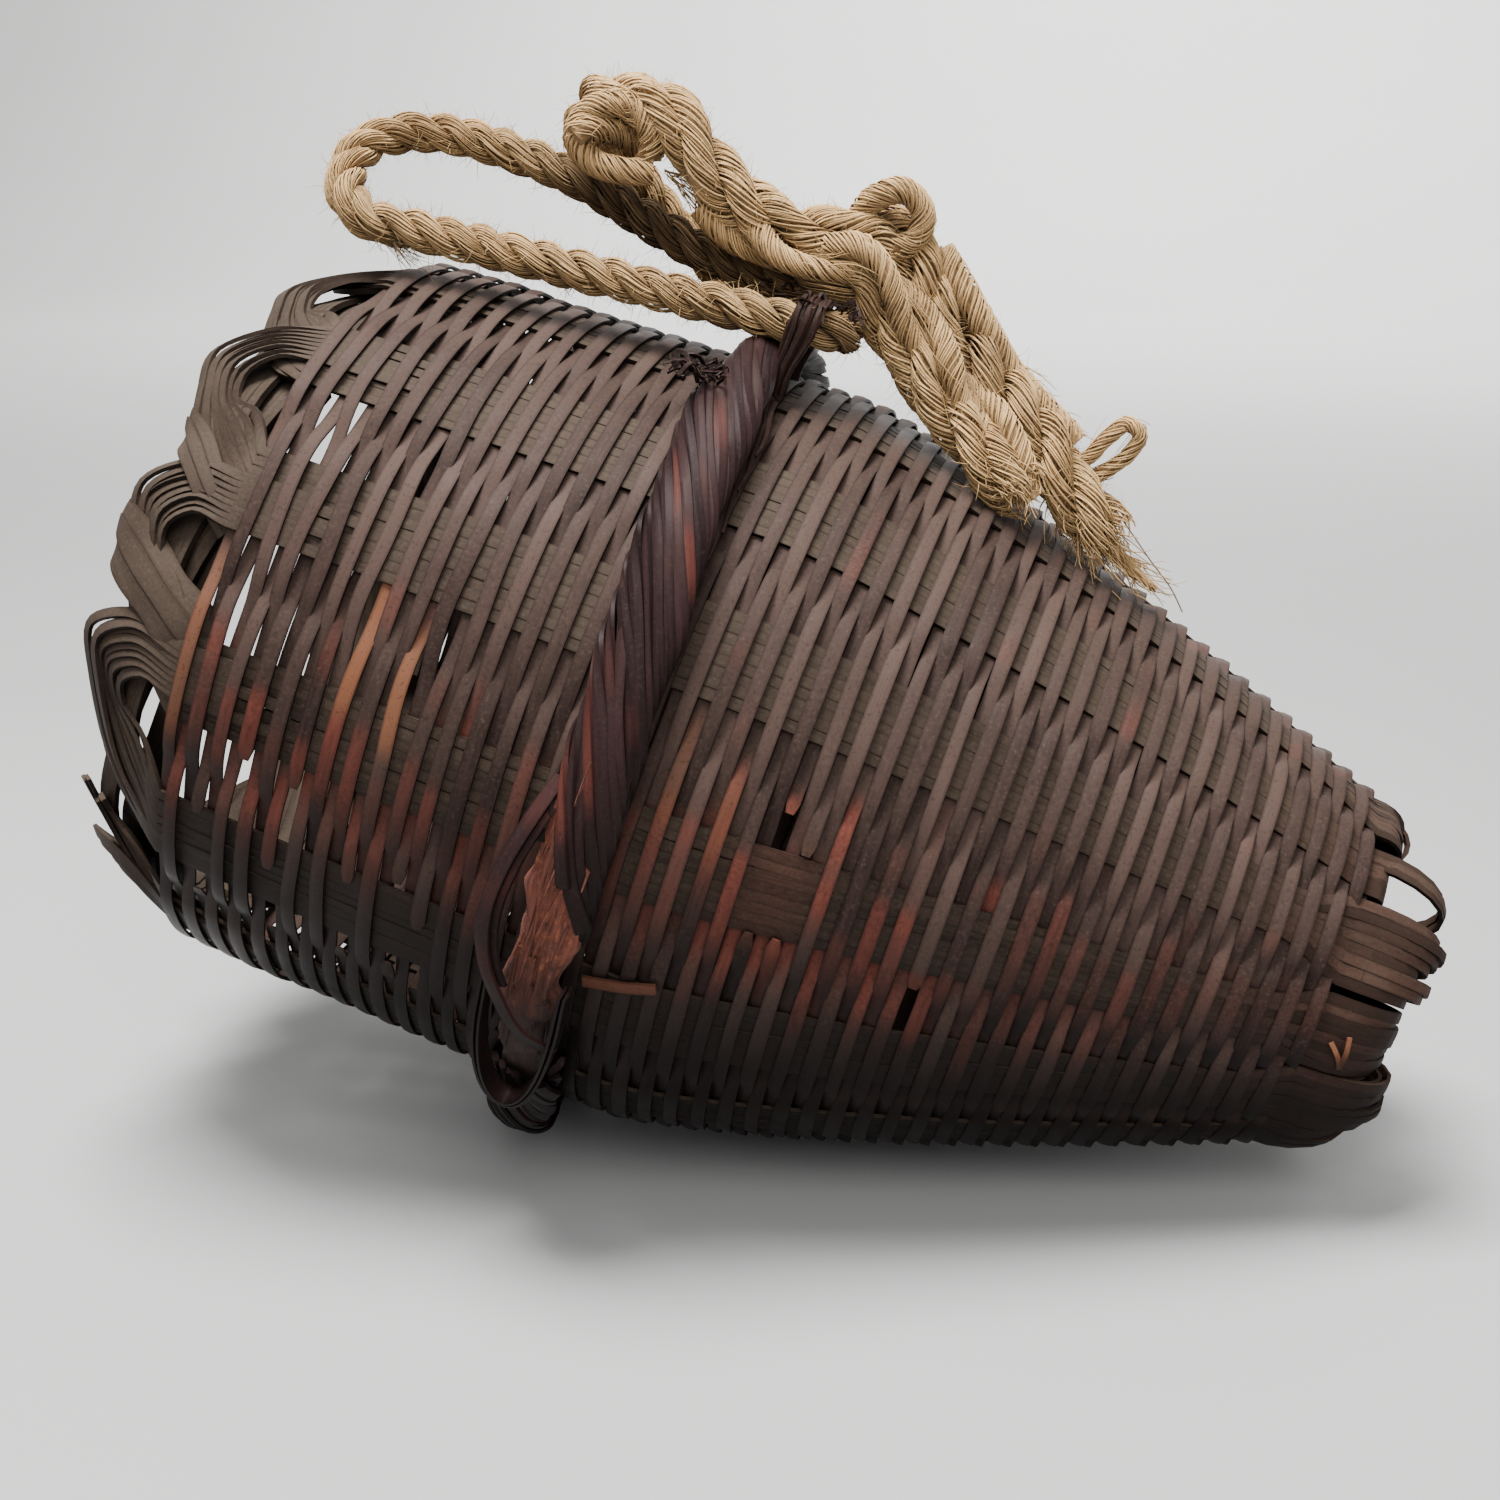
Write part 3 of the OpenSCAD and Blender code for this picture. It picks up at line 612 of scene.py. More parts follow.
def faced_line(group, start):
    """A piece's lines as curves whose broad side faces the way the points say."""
    line = geo(group, "MeshToCurve", {"Mesh": start["Geometry"]})
    facing = geo(group, "InputNamedAttribute", {"Name": "facing"}, data_type="FLOAT_VECTOR")
    return geo(group, "SetCurveNormal", {"Curve": line, "Normal": facing}, mode="FREE")


bent_strip, start, end = node_tree("bent_strip", [
    ("Width", "Float"), ("Thickness", "Float"), ("Crown", "Float"), ("Material", "Material")])
flat = geo(bent_strip, "CurvePrimitiveQuadrilateral", {"Width": start["Thickness"], "Height": start["Width"]})
flat = geo(bent_strip, "SubdivideCurve", {"Curve": flat, "Cuts": 1})
spot = wire(bent_strip, "ShaderNodeSeparateXYZ", {0: geo(bent_strip, "InputPosition")})
half = reckon(bent_strip, "DIVIDE", spot.outputs["Y"], start["Width"])
hump = reckon(bent_strip, "MULTIPLY_ADD", reckon(bent_strip, "MULTIPLY", half, half), -4.0, 1.0)
rise = reckon(bent_strip, "MULTIPLY", hump, reckon(bent_strip, "SIGN", spot.outputs["X"]))
push = vector(bent_strip, reckon(bent_strip, "MULTIPLY", rise, start["Crown"]))
crowned = geo(bent_strip, "SetPosition", {"Geometry": flat, "Offset": push})
swept(bent_strip, start, end, faced_line(bent_strip, start), crowned, crisp=True, over=half)


def strip(place, face, **looks):
    """One strip for path_object: its places, the way its broad side faces, and its girth and finish."""
    return {"points": lying(place), "facing": turned(face), **looks}


def strips(name, runs, made_of, size, node=None):
    """A piece of bent strips on the basket; their size is width, thickness and crown in millimetres."""
    width, thickness, crown = np.array(size) / 1000
    made = grown(path_object(name, runs), bent_strip, width=width, thickness=thickness, crown=crown,
                 material=made_of)
    fixed(made, "basket", node)


line_dark, bamboo_painted_shade = (0.010, 0.007, 0.006, 1), (0.004, 0.003, 0.0027, 1)
worn_dark, worn_red = (0.050, 0.011, 0.009, 1), (0.205, 0.058, 0.040, 1)
bare_pale, bare_dark = (0.26, 0.105, 0.052, 1), (0.125, 0.043, 0.021, 1)


def aged_bamboo(name, dark, mid, dust, streak, dust_share, gloss, edge_shade):
    """Old bamboo: fibre lines along the strip, stains, pale dust on top, red and bare where it is worn."""
    made, tree, shader = material(name, Specular_IOR_Level=0.09, Specular_Tint=(1.0, 0.84, 0.8, 1))
    tone, worn, up = attribute(tree, "tone"), attribute(tree, "worn"), upward(tree)
    stain = grain(tree, 55.0, 3.0, 37.0, 4.0, 0.6).outputs["Fac"]
    lines = grain(tree, 30.0, 46.0, 37.0, 3.0, 0.55).outputs
    at = object_place(tree)
    grime = noise(tree, at, 42.0, 5.0, 0.6).outputs["Fac"]
    specks = noise(tree, at, 1300.0, 3.0).outputs
    colour = tinted(tree, dark, mid, stain, 0.3, 0.7)
    colour = tinted(tree, colour, streak, tone, -1.0, 1.0, 0.0, 0.8)
    colour = tinted(tree, colour, line_dark, lines["Fac"], 0.45, 0.7, 0.0, 0.45)
    colour = blend(tree, worn, colour, blend(tree, stain, worn_dark, worn_red))
    colour = blend(tree, attribute(tree, "bare"), colour, blend(tree, lines["Fac"], bare_pale, bare_dark))
    settled = reckon(tree, "MULTIPLY", ramp(tree, up, -0.35, 0.9, 0.0, dust_share),
                     ramp(tree, grime, 0.3, 0.62, 0.35, 1.0))
    settled = reckon(tree, "MULTIPLY", settled, reckon(tree, "MULTIPLY_ADD", worn, -0.8, 1.0))
    colour = blend(tree, settled, colour, dust)
    colour = tinted(tree, colour, dust, specks["Fac"], 0.56, 0.74, 0.0, 0.45)
    colour = tinted(tree, colour, dark, specks["Fac"], 0.42, 0.30, 0.0, 0.35)
    colour = tinted(tree, colour, dark, tone, -1.0, -2.0, 0.0, 0.7)
    # Painted shade: each strip darkens toward its long edges, as a rounded strip is shaded there.
    edge = reckon(tree, "ABSOLUTE", attribute(tree, "across"))
    colour = tinted(tree, colour, dark, edge, 0.32, 0.49, 0.0, edge_shade)
    # Painted shade: the more a surface faces down, the nearer it turns to black.
    colour = tinted(tree, colour, bamboo_painted_shade, up, -0.42, 0.14, 0.92, 0.0)
    dull = ramp(tree, reckon(tree, "ADD", settled, grime), 0.4, 1.3, gloss, 0.85)
    tree.links.new(dull, shader.inputs["Roughness"])
    finish(tree, shader, colour, blend(tree, 0.4, lines["Color"], specks["Color"]), 0.35, 0.0003)
    return made


stake_bamboo = aged_bamboo(
    "stake_bamboo", dark=(0.014, 0.009, 0.0065, 1), mid=(0.048, 0.033, 0.0235, 1),
    dust=(0.086, 0.065, 0.048, 1), streak=(0.036, 0.023, 0.017, 1), dust_share=0.6, gloss=0.5, edge_shade=0.35)
rng = np.random.default_rng(7)
stake_gap = math.tau / stake_n
arch_gap = stake_gap * mouth_r
stake_at = [math.pi + stake_turn + i * stake_gap + math.radians(stake_nudge.get(i, rng.normal(0, 0.6)))
            for i in range(stake_n)]
stake_at = np.array(stake_at)
wall_u = np.r_[np.linspace(body_l, 30, 46), np.linspace(26, 0, 8)]
fold_g = np.radians(np.linspace(180, 12, 11))
for i in range(stake_n):
    centre = stake_at[i]
    tall = rng.uniform(0.92, 1.1)
    fold_layers = base_folds.get(i, [(rng.uniform(7, 9.5), rng.uniform(10, 15))])
    fan = base_fan.get(i, 0.9)
    runs = []
    for k in range(splint_n):
        x = (k - (splint_n - 1) / 2) * stake_w / splint_n
        lead = -2 * x / stake_w
        # At the base the splint fans out and folds over, in some stakes in two or three layers
        spread_a = centre + (1 + fan) * x / belly_r
        folds = []
        for deep, far in fold_layers:
            deep, far = deep + rng.normal(0, 0.3), far + rng.normal(0, base_ragged.get(i, 0.5))
            if i == short_stake and k < short_splints:
                deep, far = 3.0, 2.5
            fold = round_at(fold_u + far * np.sin(fold_g), base_r - deep + deep * np.cos(fold_g), spread_a)
            folds.append((fold, unit(round_at(deep * np.sin(fold_g), far * np.cos(fold_g), spread_a))))
        for fold, face in folds[1:]:
            runs.append(strip(fold, face, tone=rng.uniform(-2.0, -1.4), worn=0.15))
        fold, fold_face = folds[0]
        angle = centre + (1 + fan * eased(wall_u, 242, 257)) * x / belly_r
        out = wall_r(wall_u) + drift(rng, len(wall_u), 5, 0.07)
        wall = round_at(wall_u, out, angle + drift(rng, len(wall_u), 9, 0.0012))
        wall_face = outward(angle + rng.normal(0, 0.03))
        # It leaves its stake on a slant, turns on edge at the rim and comes back straight over the next stake
        high = tall * (arch_high + arch_slant * lead) * rng.normal(1, 0.03)
        plan = smooth_run([
            (x, 0, 0), (x + 0.26 * arch_gap, 0.52 * high, 0), (0.60 * arch_gap - 0.2 * x, 0.92 * high, 0),
            (0.86 * arch_gap - 0.5 * x, high, 0), (arch_gap - 0.62 * x + 0.8, 0.62 * high, 0),
            (arch_gap - 0.58 * x, 0, 0)], 2.2)
        f = np.linspace(0, 1, len(plan))
        s = np.sin(math.pi * f)
        over = eased(f, 0.35, 0.75)
        arch_u = -plan[:, 1]
        arch_r = mouth_r + arch_lean * arch_u - s * (1 - over) + over * (0.8 + 1.6 * s)
        arch_r = arch_r + s * rng.normal(0, 0.4)
        arch_a = centre + plan[:, 0] / mouth_r
        way = unit(np.gradient(plan, axis=0))
        away = np.stack([-way[:, 0], -way[:, 1] * np.cos(arch_a), way[:, 1] * np.sin(arch_a)], -1)
        tip = np.radians(40) * np.minimum(1, 1.7 * s) * rng.uniform(0.85, 1.1)
        arch_face = swung(tip, outward(arch_a), away)
        tuck_end = weaver_pitch * (2 * rng.integers(2, 5) + (i + 1) % 2 + 0.5)
        tuck_u = np.linspace(2.5, tuck_end, 6)
        tuck = round_at(tuck_u, wall_r(tuck_u) + splint_t, arch_a[-1])
        tuck_face = outward(arch_a[-1] + 0 * tuck_u)
        stop = len(plan)
        if i == snapped_arch:
            stop, tuck, tuck_face = int(stop * rng.uniform(0.28, 0.62)), tuck[:0], tuck_face[:0]
        place = np.vstack([fold, wall, round_at(arch_u, arch_r, arch_a)[1:stop], tuck])
        face = unit(np.vstack([fold_face, wall_face, arch_face[1:stop], tuck_face]))
        m = len(place)
        worn = np.r_[np.full(len(fold), 0.2), np.linspace(0.2, 0, 8), np.zeros(m - len(fold) - 8)]
        if i == scuffed_stake:
            worn = worn + 0.25 * np.exp(-((place[:, 0] - 135) / 9) ** 2)
        # The splints turn darker toward the base.
        darker_at_base = 1.7 * eased(place[:, 0], 236, 256)
        runs.append(strip(place, face, girth=np.clip(1 + drift(rng, m, 12, 0.02), 0.9, 1.05),
                          tone=rng.uniform(-1, 1) + drift(rng, m, 12, 0.2) - darker_at_base, worn=worn))
    # More splints come up on the inside, turn at the rim and run on behind the next arches
    for k in range(splint_n - 2 if i != snapped_arch else 2):
        x = (k - (splint_n - 3) / 2) * stake_w / splint_n
        reach = arch_gap / 2 - x * 0.96
        high = rim_high * tall * reach / (arch_gap / 2 + stake_w / 2) * rng.normal(1, 0.03)
        f = math.pi * np.linspace(0, 0.5, rim_rise_n)
        on = np.linspace(0.04, 1, rim_run_n)
        along = np.r_[x, x, arch_gap / 2 - reach * np.cos(f), arch_gap / 2 + on * 2.4 * arch_gap]
        u = np.r_[12.0, 6.0, -high * np.sin(f), -high + (high - 3 + k * 1.2) * eased(on, 0, 1.15)]
        behind = 1.4 + 3.2 * eased(on, 0, 0.28) + 3.0 * eased(on, 0.45, 0.75)
        at = centre + along / mouth_r
        r = mouth_r + arch_lean * np.minimum(u, 0) - np.r_[0.9, 0.9, np.full(rim_rise_n, 1.4), behind]
        tip = np.radians(30) * np.r_[0, 0, np.sin(f), np.linspace(1, 0.2, rim_run_n)]
        face = unit(swung(tip, outward(at), mouthward))
        # The stretch that runs on behind the arches gets the darkest tone, painted shade in the rim's
        # openings.
        tone = np.r_[np.full(2 + rim_rise_n, rng.uniform(-1, 0.2)), np.full(rim_run_n, -1.0)]
        runs.append(strip(round_at(u, r, at), face, girth=1.45, tone=tone))
    strips(f"stake_{i + 1:02d}_splints", runs, stake_bamboo, splint_size,
           node=f"stake_{i + 1:02d}")

# Two broad bands of bamboo at the front of the rim, each of three slats side by side.
# They come up at a stake, lean over toward the next one and fold inward at the top.
slat_hollow, slat_tilt = 0.9, 0.22
for name, i, width, plan in (
        ("stake_05_band", 4, 14.0, [
            (7, -4, -2.2), (9.5, 1, 0.4), (14, 9, 2.2), (20, 19, 2.6), (25, 26.5, 1.8), (27, 29.5, -1.5),
            (27.5, 29, -5), (27, 25, -8)]),
        ("stake_06_band", 5, 8.5, [
            (-9, -1, -2.0), (-3, 7, 1.8), (4, 14, 2.8), (10, 19.5, 2.2), (14, 23, 0.5), (15.5, 23.5, -2.5),
            (15.5, 21, -5.5)])):
    route = smooth_run(plan, 1.5)
    f = np.linspace(0, 1, len(route))
    at = stake_at[i] + route[:, 0] / mouth_r
    face = swung(math.pi * eased(f, 0.55, 1.05), outward(at), mouthward)
    place = round_at(-route[:, 1], mouth_r - arch_lean * route[:, 1] + route[:, 2], at)
    across = unit(np.cross(face, np.gradient(place, axis=0)))
    girth = 1 - 0.3 * eased(f, 0.5, 1) + drift(rng, len(route), 8, 0.04)
    runs = []
    for slat, tone in ((-1, 0.2), (0, 0.6), (1, 0.0)):
        beside = across * (slat * girth * width / 3)[:, None] - face * slat_hollow * abs(slat)
        runs.append(strip(place + beside, unit(face + across * slat_tilt * slat), girth=girth, tone=tone))
    strips(name, runs, stake_bamboo, (width / 3 + 0.1, splint_t, 0.1))

# The weavers: long strips of split bamboo wound over one stake and under the next, row upon row.
# They are darker and smoother than the stakes; a belt along the front is rubbed red and some are broken.
weaver_n, ring_n, bands = 85, 224, 8
weaver_size, weaver_lift = (3.3, 0.65, 0.2), 1.1
wave_square = 2.1
gaps = [(7.6, -43.6), (13, -52), (35, -69.6), (50, -77.5), (9, -72.7), (54.6, -67.4), (35.6, -47.3),
        (45, -110), (36, -116), (16, -40), (22, -66)]
bare_at = [(37.5, -73, 11, 0.9), (49.5, -78, 9, 0.85), (1.5, -82, 14, 0.6), (109.5, -75, 8, 0.3),
           (121.5, -79, 7, 0.25)]
broken = {133.5: (-92.5, -76), 139.5: (-92.5, -80.5), 10.5: (-122, -107), 31.5: (-109, -97),
          28.5: (-125, -112), 19.5: (-109, -96), 58.5: (-120, -106), 64.5: (-125, -112),
          46.5: (-122, -109), 169.5: (-109, -98)}
weaver_bamboo = aged_bamboo(
    "weaver_bamboo", dark=(0.008, 0.0045, 0.0042, 1), mid=(0.032, 0.018, 0.0155, 1),
    dust=(0.087, 0.059, 0.045, 1), streak=(0.081, 0.051, 0.042, 1),
    dust_share=0.40, gloss=0.36, edge_shade=0.45)
rng = np.random.default_rng(23)
ring_a = math.pi / 2 + np.arange(ring_n) * math.tau / ring_n
ring_deg = (np.degrees(ring_a) + 180) % 360 - 180
ring_stake = np.interp(ring_a, np.r_[stake_at - math.tau, stake_at, stake_at + math.tau],
                       np.arange(-stake_n, 2 * stake_n))
band_runs = [[] for _ in range(bands)]
for j in range(weaver_n):
    row_u = weaver_pitch * (j + 0.5)
    wave = np.tanh(wave_square * np.cos(math.pi * (ring_stake + j))) / math.tanh(wave_square)
    slip = np.zeros(ring_n)
    for gap_u, gap_a in gaps:
        apart = row_u - gap_u
        pushed = 0.9 * math.copysign(1, apart) * math.exp(-(apart / 5) ** 2)
        slip += pushed * np.exp(-((ring_deg - gap_a) / 8) ** 2)
    u = row_u + slip + drift(rng, ring_n, 14, 0.13)
    thick = (1 - eased(row_u, 22, 34)) * splint_t * (wave > 0) * wave
    r = wall_r(u) + wave * weaver_lift + thick + drift(rng, ring_n, 10, 0.04)
    # The rubbed belt starts at a somewhat different height in each row
    onset = 82 + 5 * math.sin(row_u / 23) + rng.normal(0, 5)
    rubbed = between(-ring_deg, onset - 2, onset + 2, onset + 12, onset + 24)
    rubbed = rubbed * (0.3 - 0.2 * eased(row_u, 185, 235) + 0.6 * math.exp(-((row_u - 30) / 45) ** 2)
                       + 0.7 * math.exp(-((row_u - 150) / 50) ** 2))
    rubbed = np.clip(rubbed * rng.uniform(0.3, 1.2) * (1 + drift(rng, ring_n, 3, 0.25)), 0, 0.9)
    worn = np.maximum(rubbed, np.clip(drift(rng, ring_n, 6, 0.3) - 0.4, 0, 0.7))
    bare = np.zeros(ring_n)
    for bare_u, bare_a, span, share in bare_at:
        if bare_u == row_u:
            bare = np.maximum(bare, eased(span + 2 - np.abs(ring_deg - bare_a), 0, 5) * share)
    girth = np.clip(rng.normal(1, 0.05) + drift(rng, ring_n, 16, 0.035), 0.86, 1.08)
    girth = (0.92 + 0.08 * np.abs(wave)) * girth
    tone = rng.uniform(-1, 1) + drift(rng, ring_n, 14, 0.4) - 0.5 * eased(row_u, 190, 245)
    run = strip(round_at(u, r, ring_a), outward(ring_a), girth=girth,
                tone=np.clip(tone, -1, 1), worn=worn, bare=bare)
    if row_u in broken:
        gone = np.flatnonzero((ring_deg > broken[row_u][0]) & (ring_deg < broken[row_u][1]))
        run["bare"][np.r_[gone[0] - 2:gone[0], gone[-1] + 1:gone[-1] + 3]] = 0.1
        run["girth"][[gone[0] - 1, gone[-1] + 1]] *= 0.6
        order = np.r_[gone[-1] + 1:ring_n, 0:gone[0]]
        run = {key: value[order] for key, value in run.items()}
    else:
        run["closed"] = True
    band_runs[j * bands // weaver_n].append(run)
for band, runs in enumerate(band_runs, 1):
    strips(f"weavers_{band}_rows", runs, weaver_bamboo, weaver_size, node=f"weavers_{band}")

# Bits of broken weaver: one is caught on the weave below the hoop.
# The others are two torn splinters that stand out at the base.
chip_u = np.linspace(103.5, 119, 6)
chip_a = np.radians(np.linspace(-107.5, -105, 6))
splinter_root, splinter_bow = (263.6, -43.5, -4.7), (264, -45.5, -3.5)
runs = [strip(round_at(chip_u, wall_r(chip_u) + 2.4, chip_a), outward(np.radians(-100.0)),
              bare=0.5, worn=0.6, tone=0.3)]
for top in ((259.5, -44.5, 1.0), (262.7, -44.5, 3.6)):
    place = smooth_run([splinter_root, (np.array(top) + splinter_bow) / 2, top], 1.5)
    runs.append(strip(place, (0.2, -1.0, 0.1), bare=1.0, girth=0.45, tone=0.8))
strips("weaver_chips", runs, weaver_bamboo, (2.6, 0.7, 0.1))

# The closed base: nine flat strips each way, woven over and under into a mat on which the stake ends stop.
# It is cut round and sits just inside the last row of weaving.
mat_u, mat_r, mat_n, mat_pitch = 251.85, 41.65, 9, 9.0
mat_lift, half_w, short_half = 0.62, 4, 9.0
rng = np.random.default_rng(5)
for name, node, way, made_of, slot in (
        ("base_warp_strips", "base_warps", 0, stake_bamboo, "stake_bamboo"),
        ("base_weft_strips", "base_wefts", 1, weaver_bamboo, "weaver_bamboo")):
    runs = []
    for k in range(mat_n):
        off = (k - (mat_n - 1) / 2) * mat_pitch
        edge = abs(off) + half_w
        half = math.sqrt(mat_r ** 2 - edge ** 2) if edge < mat_r else short_half
        t = np.linspace(-half, half, 40)
        wave = np.cos(math.pi * t / mat_pitch + math.pi * (k + way))
        up = mat_u + np.tanh(2 * wave) * mat_lift
        y, z = (t, off + 0 * t) if way == 0 else (off + 0 * t, t)
        runs.append(strip(np.stack([up, y, z], -1), (1.0, 0.0, 0.0), tone=rng.uniform(-1, 1)))
    strips(name, runs, made_of, (7.8, 1.0, 0.2), node=node)

# The hoop's core: a bent rod of soft wood, bare and rotted to a rusty crumble where the strips have
# broken off. Splinters still stand up along the break.
hoop_u, hoop_r, hoop_out_r = 88.0, 98.81, 103.66
core_w, core_d, crumble = 12.2, 6.0, 3.0
break_from, break_to = -117.0, -82.0
hoop_bow = 7.0
splinter_n = 64
rot_dark, rot_red = (0.022, 0.007, 0.005, 1), (0.190, 0.046, 0.022, 1)
crumb_pale, crumb_dark = (0.33, 0.110, 0.050, 1), (0.010, 0.005, 0.003, 1)
rot_painted_shade = (0.010, 0.006, 0.005, 1)


def hoop_mid(deg):
    """The hoop's distance from the mouth: it has slipped toward the base on the near side."""
    near = -((np.asarray(deg, float) + 180) % 360 - 180)
    return hoop_u + hoop_bow * between(near, 12, 80, 128, 175)


rotten, tree, shader = material("rotten_wood", Roughness=0.9)
streaks = grain(tree, 90.0, 26.0, 20.0, 5.0, 0.65).outputs
at = object_place(tree)
crumbs = noise(tree, at, 380.0, 4.0, 0.7).outputs
colour = tinted(tree, rot_dark, rot_red, streaks["Fac"], 0.35, 0.62)
colour = tinted(tree, colour, crumb_pale, crumbs["Fac"], 0.55, 0.72, 0.0, 0.7)
colour = tinted(tree, colour, crumb_dark, crumbs["Fac"], 0.42, 0.30, 0.0, 0.85)
height = wire(tree, "ShaderNodeSeparateXYZ", {0: at}).outputs["Z"]
# Painted shade: the rod turns nearly black toward its lowest part.
colour = tinted(tree, colour, rot_painted_shade, height, 0.082, 0.060, 0.0, 0.9)
finish(tree, shader, colour, blend(tree, 0.5, streaks["Color"], crumbs["Color"]), 0.8, 0.0008)

rotted_rod, start, end = node_tree("rotted_rod", [
    ("Width", "Float"), ("Depth", "Float"), ("Crumble", "Float"), ("Material", "Material")])
ring = geo(rotted_rod, "CurvePrimitiveCircle", {"Resolution": 22, "Radius": 0.5}, mode="RADIUS")
oval = vector(rotted_rod, start["Depth"], start["Width"], 1.0)
oval = geo(rotted_rod, "Transform", {"Geometry": ring, "Scale": oval})
swept(rotted_rod, start, end, faced_line(rotted_rod, start), oval, rough=start["Crumble"])

rng = np.random.default_rng(61)
deg = np.r_[np.arange(-124, -76, 0.4), np.arange(-76, 236, 2.0)]
at = np.radians(deg)
m = len(deg)
in_break = between(deg, break_from - 5, break_from, break_to - 9, break_to - 3)
u = hoop_mid(deg) + in_break * drift(rng, m, 12, 0.8)
r = hoop_r + in_break * (0.6 + drift(rng, m, 8, 0.5))
girth = 0.8 + in_break * (0.22 + drift(rng, m, 9, 0.13))
core_run = strip(round_at(u, r, at), outward(at), girth=girth, closed=True)
core_rod = grown(path_object("hoop_core_rod", [core_run]), rotted_rod, width=core_w / 1000,
                 depth=core_d / 1000, crumble=crumble / 1000, material=rotten)
fixed(core_rod, "basket", "hoop_core")
runs = []
for _ in range(splinter_n):
    from_deg = rng.uniform(break_from + 6, break_to + 1)
    long = rng.uniform(4, 13) * rng.choice((-1, 1), p=(0.7, 0.3))
    t = np.linspace(0, 1, 7)
    at = np.radians(from_deg + long * t)
    from_mid = rng.uniform(-5.5, 5.5) + t * rng.normal(0, 1.2)
    domed = np.sqrt(np.clip(1 - (from_mid / 7) ** 2, 0.1, 1))
    r = hoop_r + core_d / 2 * domed + 0.4 + rng.uniform(0.2, 2.2) * t ** 2
    u = hoop_mid(np.degrees(at)) + from_mid
    runs.append(strip(round_at(u, r, at), round_at(rng.normal(0, 0.4), 1.0, at),
                      girth=(1 - 0.75 * t ** 1.5) * rng.uniform(0.6, 1.3), tone=rng.uniform(-1, 1)))
strips("hoop_core_splinters", runs, rotten, (1.4, 0.6, 0.1))

# The hoop's strips: sixteen smooth bamboo strips laid round the core in two plies, twisted like a rope.
# They start under the strap at the top and end ragged at the broken stretch.
hoop_w, hoop_d = 15.0, 8.4
twist_l = 98.0
ply_n, ply_strips, strip_gap = 2, 8, 22
strip_w, strip_t = 3.1, 0.9
break_deg = -92
hoop_bamboo = aged_bamboo(
    "hoop_bamboo", dark=(0.005, 0.003, 0.0033, 1), mid=(0.021, 0.011, 0.0108, 1),
    dust=(0.044, 0.028, 0.026, 1), streak=(0.038, 0.0185, 0.0175, 1),
    dust_share=0.09, gloss=0.36, edge_shade=0.5)
rng = np.random.default_rng(88)
twist = math.tau * hoop_r / twist_l
for name, node, a_from, a_to, ragged in (
        ("hoop_front_twist", "hoop_front_strips", 2.0, -104.0, 33.0),
        ("hoop_back_twist", "hoop_back_strips", 0.0, 241.0, 6.0)):
    runs = []
    for ply, q in [(ply, q) for ply in range(ply_n) for q in range(ply_strips)]:
        from_mid = q - (ply_strips - 1) / 2
        seat = ply * 360 / ply_n + from_mid * strip_gap
        early = ragged
        if node == "hoop_front_strips":
            early = ragged * (0.55 - 0.45 * math.cos(math.radians(seat + break_deg * twist)))
        a_end = a_to - math.copysign(early * rng.uniform(0.55, 1), a_to - a_from)
        deg = np.linspace(a_from, a_end, int(abs(a_end - a_from) / 1.1))
        m = len(deg)
        theta = np.radians(seat + deg * twist) + drift(rng, m, 14, 0.09)
        lean = theta + 0.5 * (hoop_w - hoop_d) / (hoop_w + hoop_d) * np.sin(2 * theta)
        full = 1.0 - 0.2 * abs(2 * from_mid / ply_strips) ** 2.2
        full = full + rng.normal(0, 0.03) + drift(rng, m, 12, 0.035)
        near_top = 0.78 + 0.22 * eased(np.abs(deg - a_from), 2, 14)
        at_end = eased(np.abs(deg - a_end), 9, 0)
        size = full * near_top * (1 + at_end * rng.uniform(0.0, 0.35))
        narrow = 0.62 + 0.38 * eased(np.abs(deg), 8, 30)
        px, py = hoop_w / 2 * size * np.cos(lean) * narrow, hoop_d / 2 * size * np.sin(lean)
        nx, ny = hoop_d * np.cos(lean), hoop_w * np.sin(lean)
        nx, ny = nx / np.hypot(nx, ny), ny / np.hypot(nx, ny)
        tip = np.radians(rng.normal(20, 10) + drift(rng, m, 14, 8))
        fx, fy = nx * np.cos(tip) - ny * np.sin(tip), nx * np.sin(tip) + ny * np.cos(tip)
        at = np.radians(deg)
        girth = np.clip(rng.normal(1, 0.1) + drift(rng, m, 25, 0.06), 0.75, 1.2)
        tone = rng.uniform(-1, 1) * (1 - at_end) - at_end
        worn = np.clip(drift(rng, m, 12, 0.5) - 0.42, 0, 0.55) * (1 - at_end) * eased(np.abs(deg), 10, 35)
        runs.append(strip(round_at(hoop_mid(deg) + px, hoop_r + py, at), round_at(fx, fy, at),
                          girth=girth, tone=tone, worn=worn))
    strips(name, runs, hoop_bamboo, (strip_w, strip_t, 0.4), node=node)

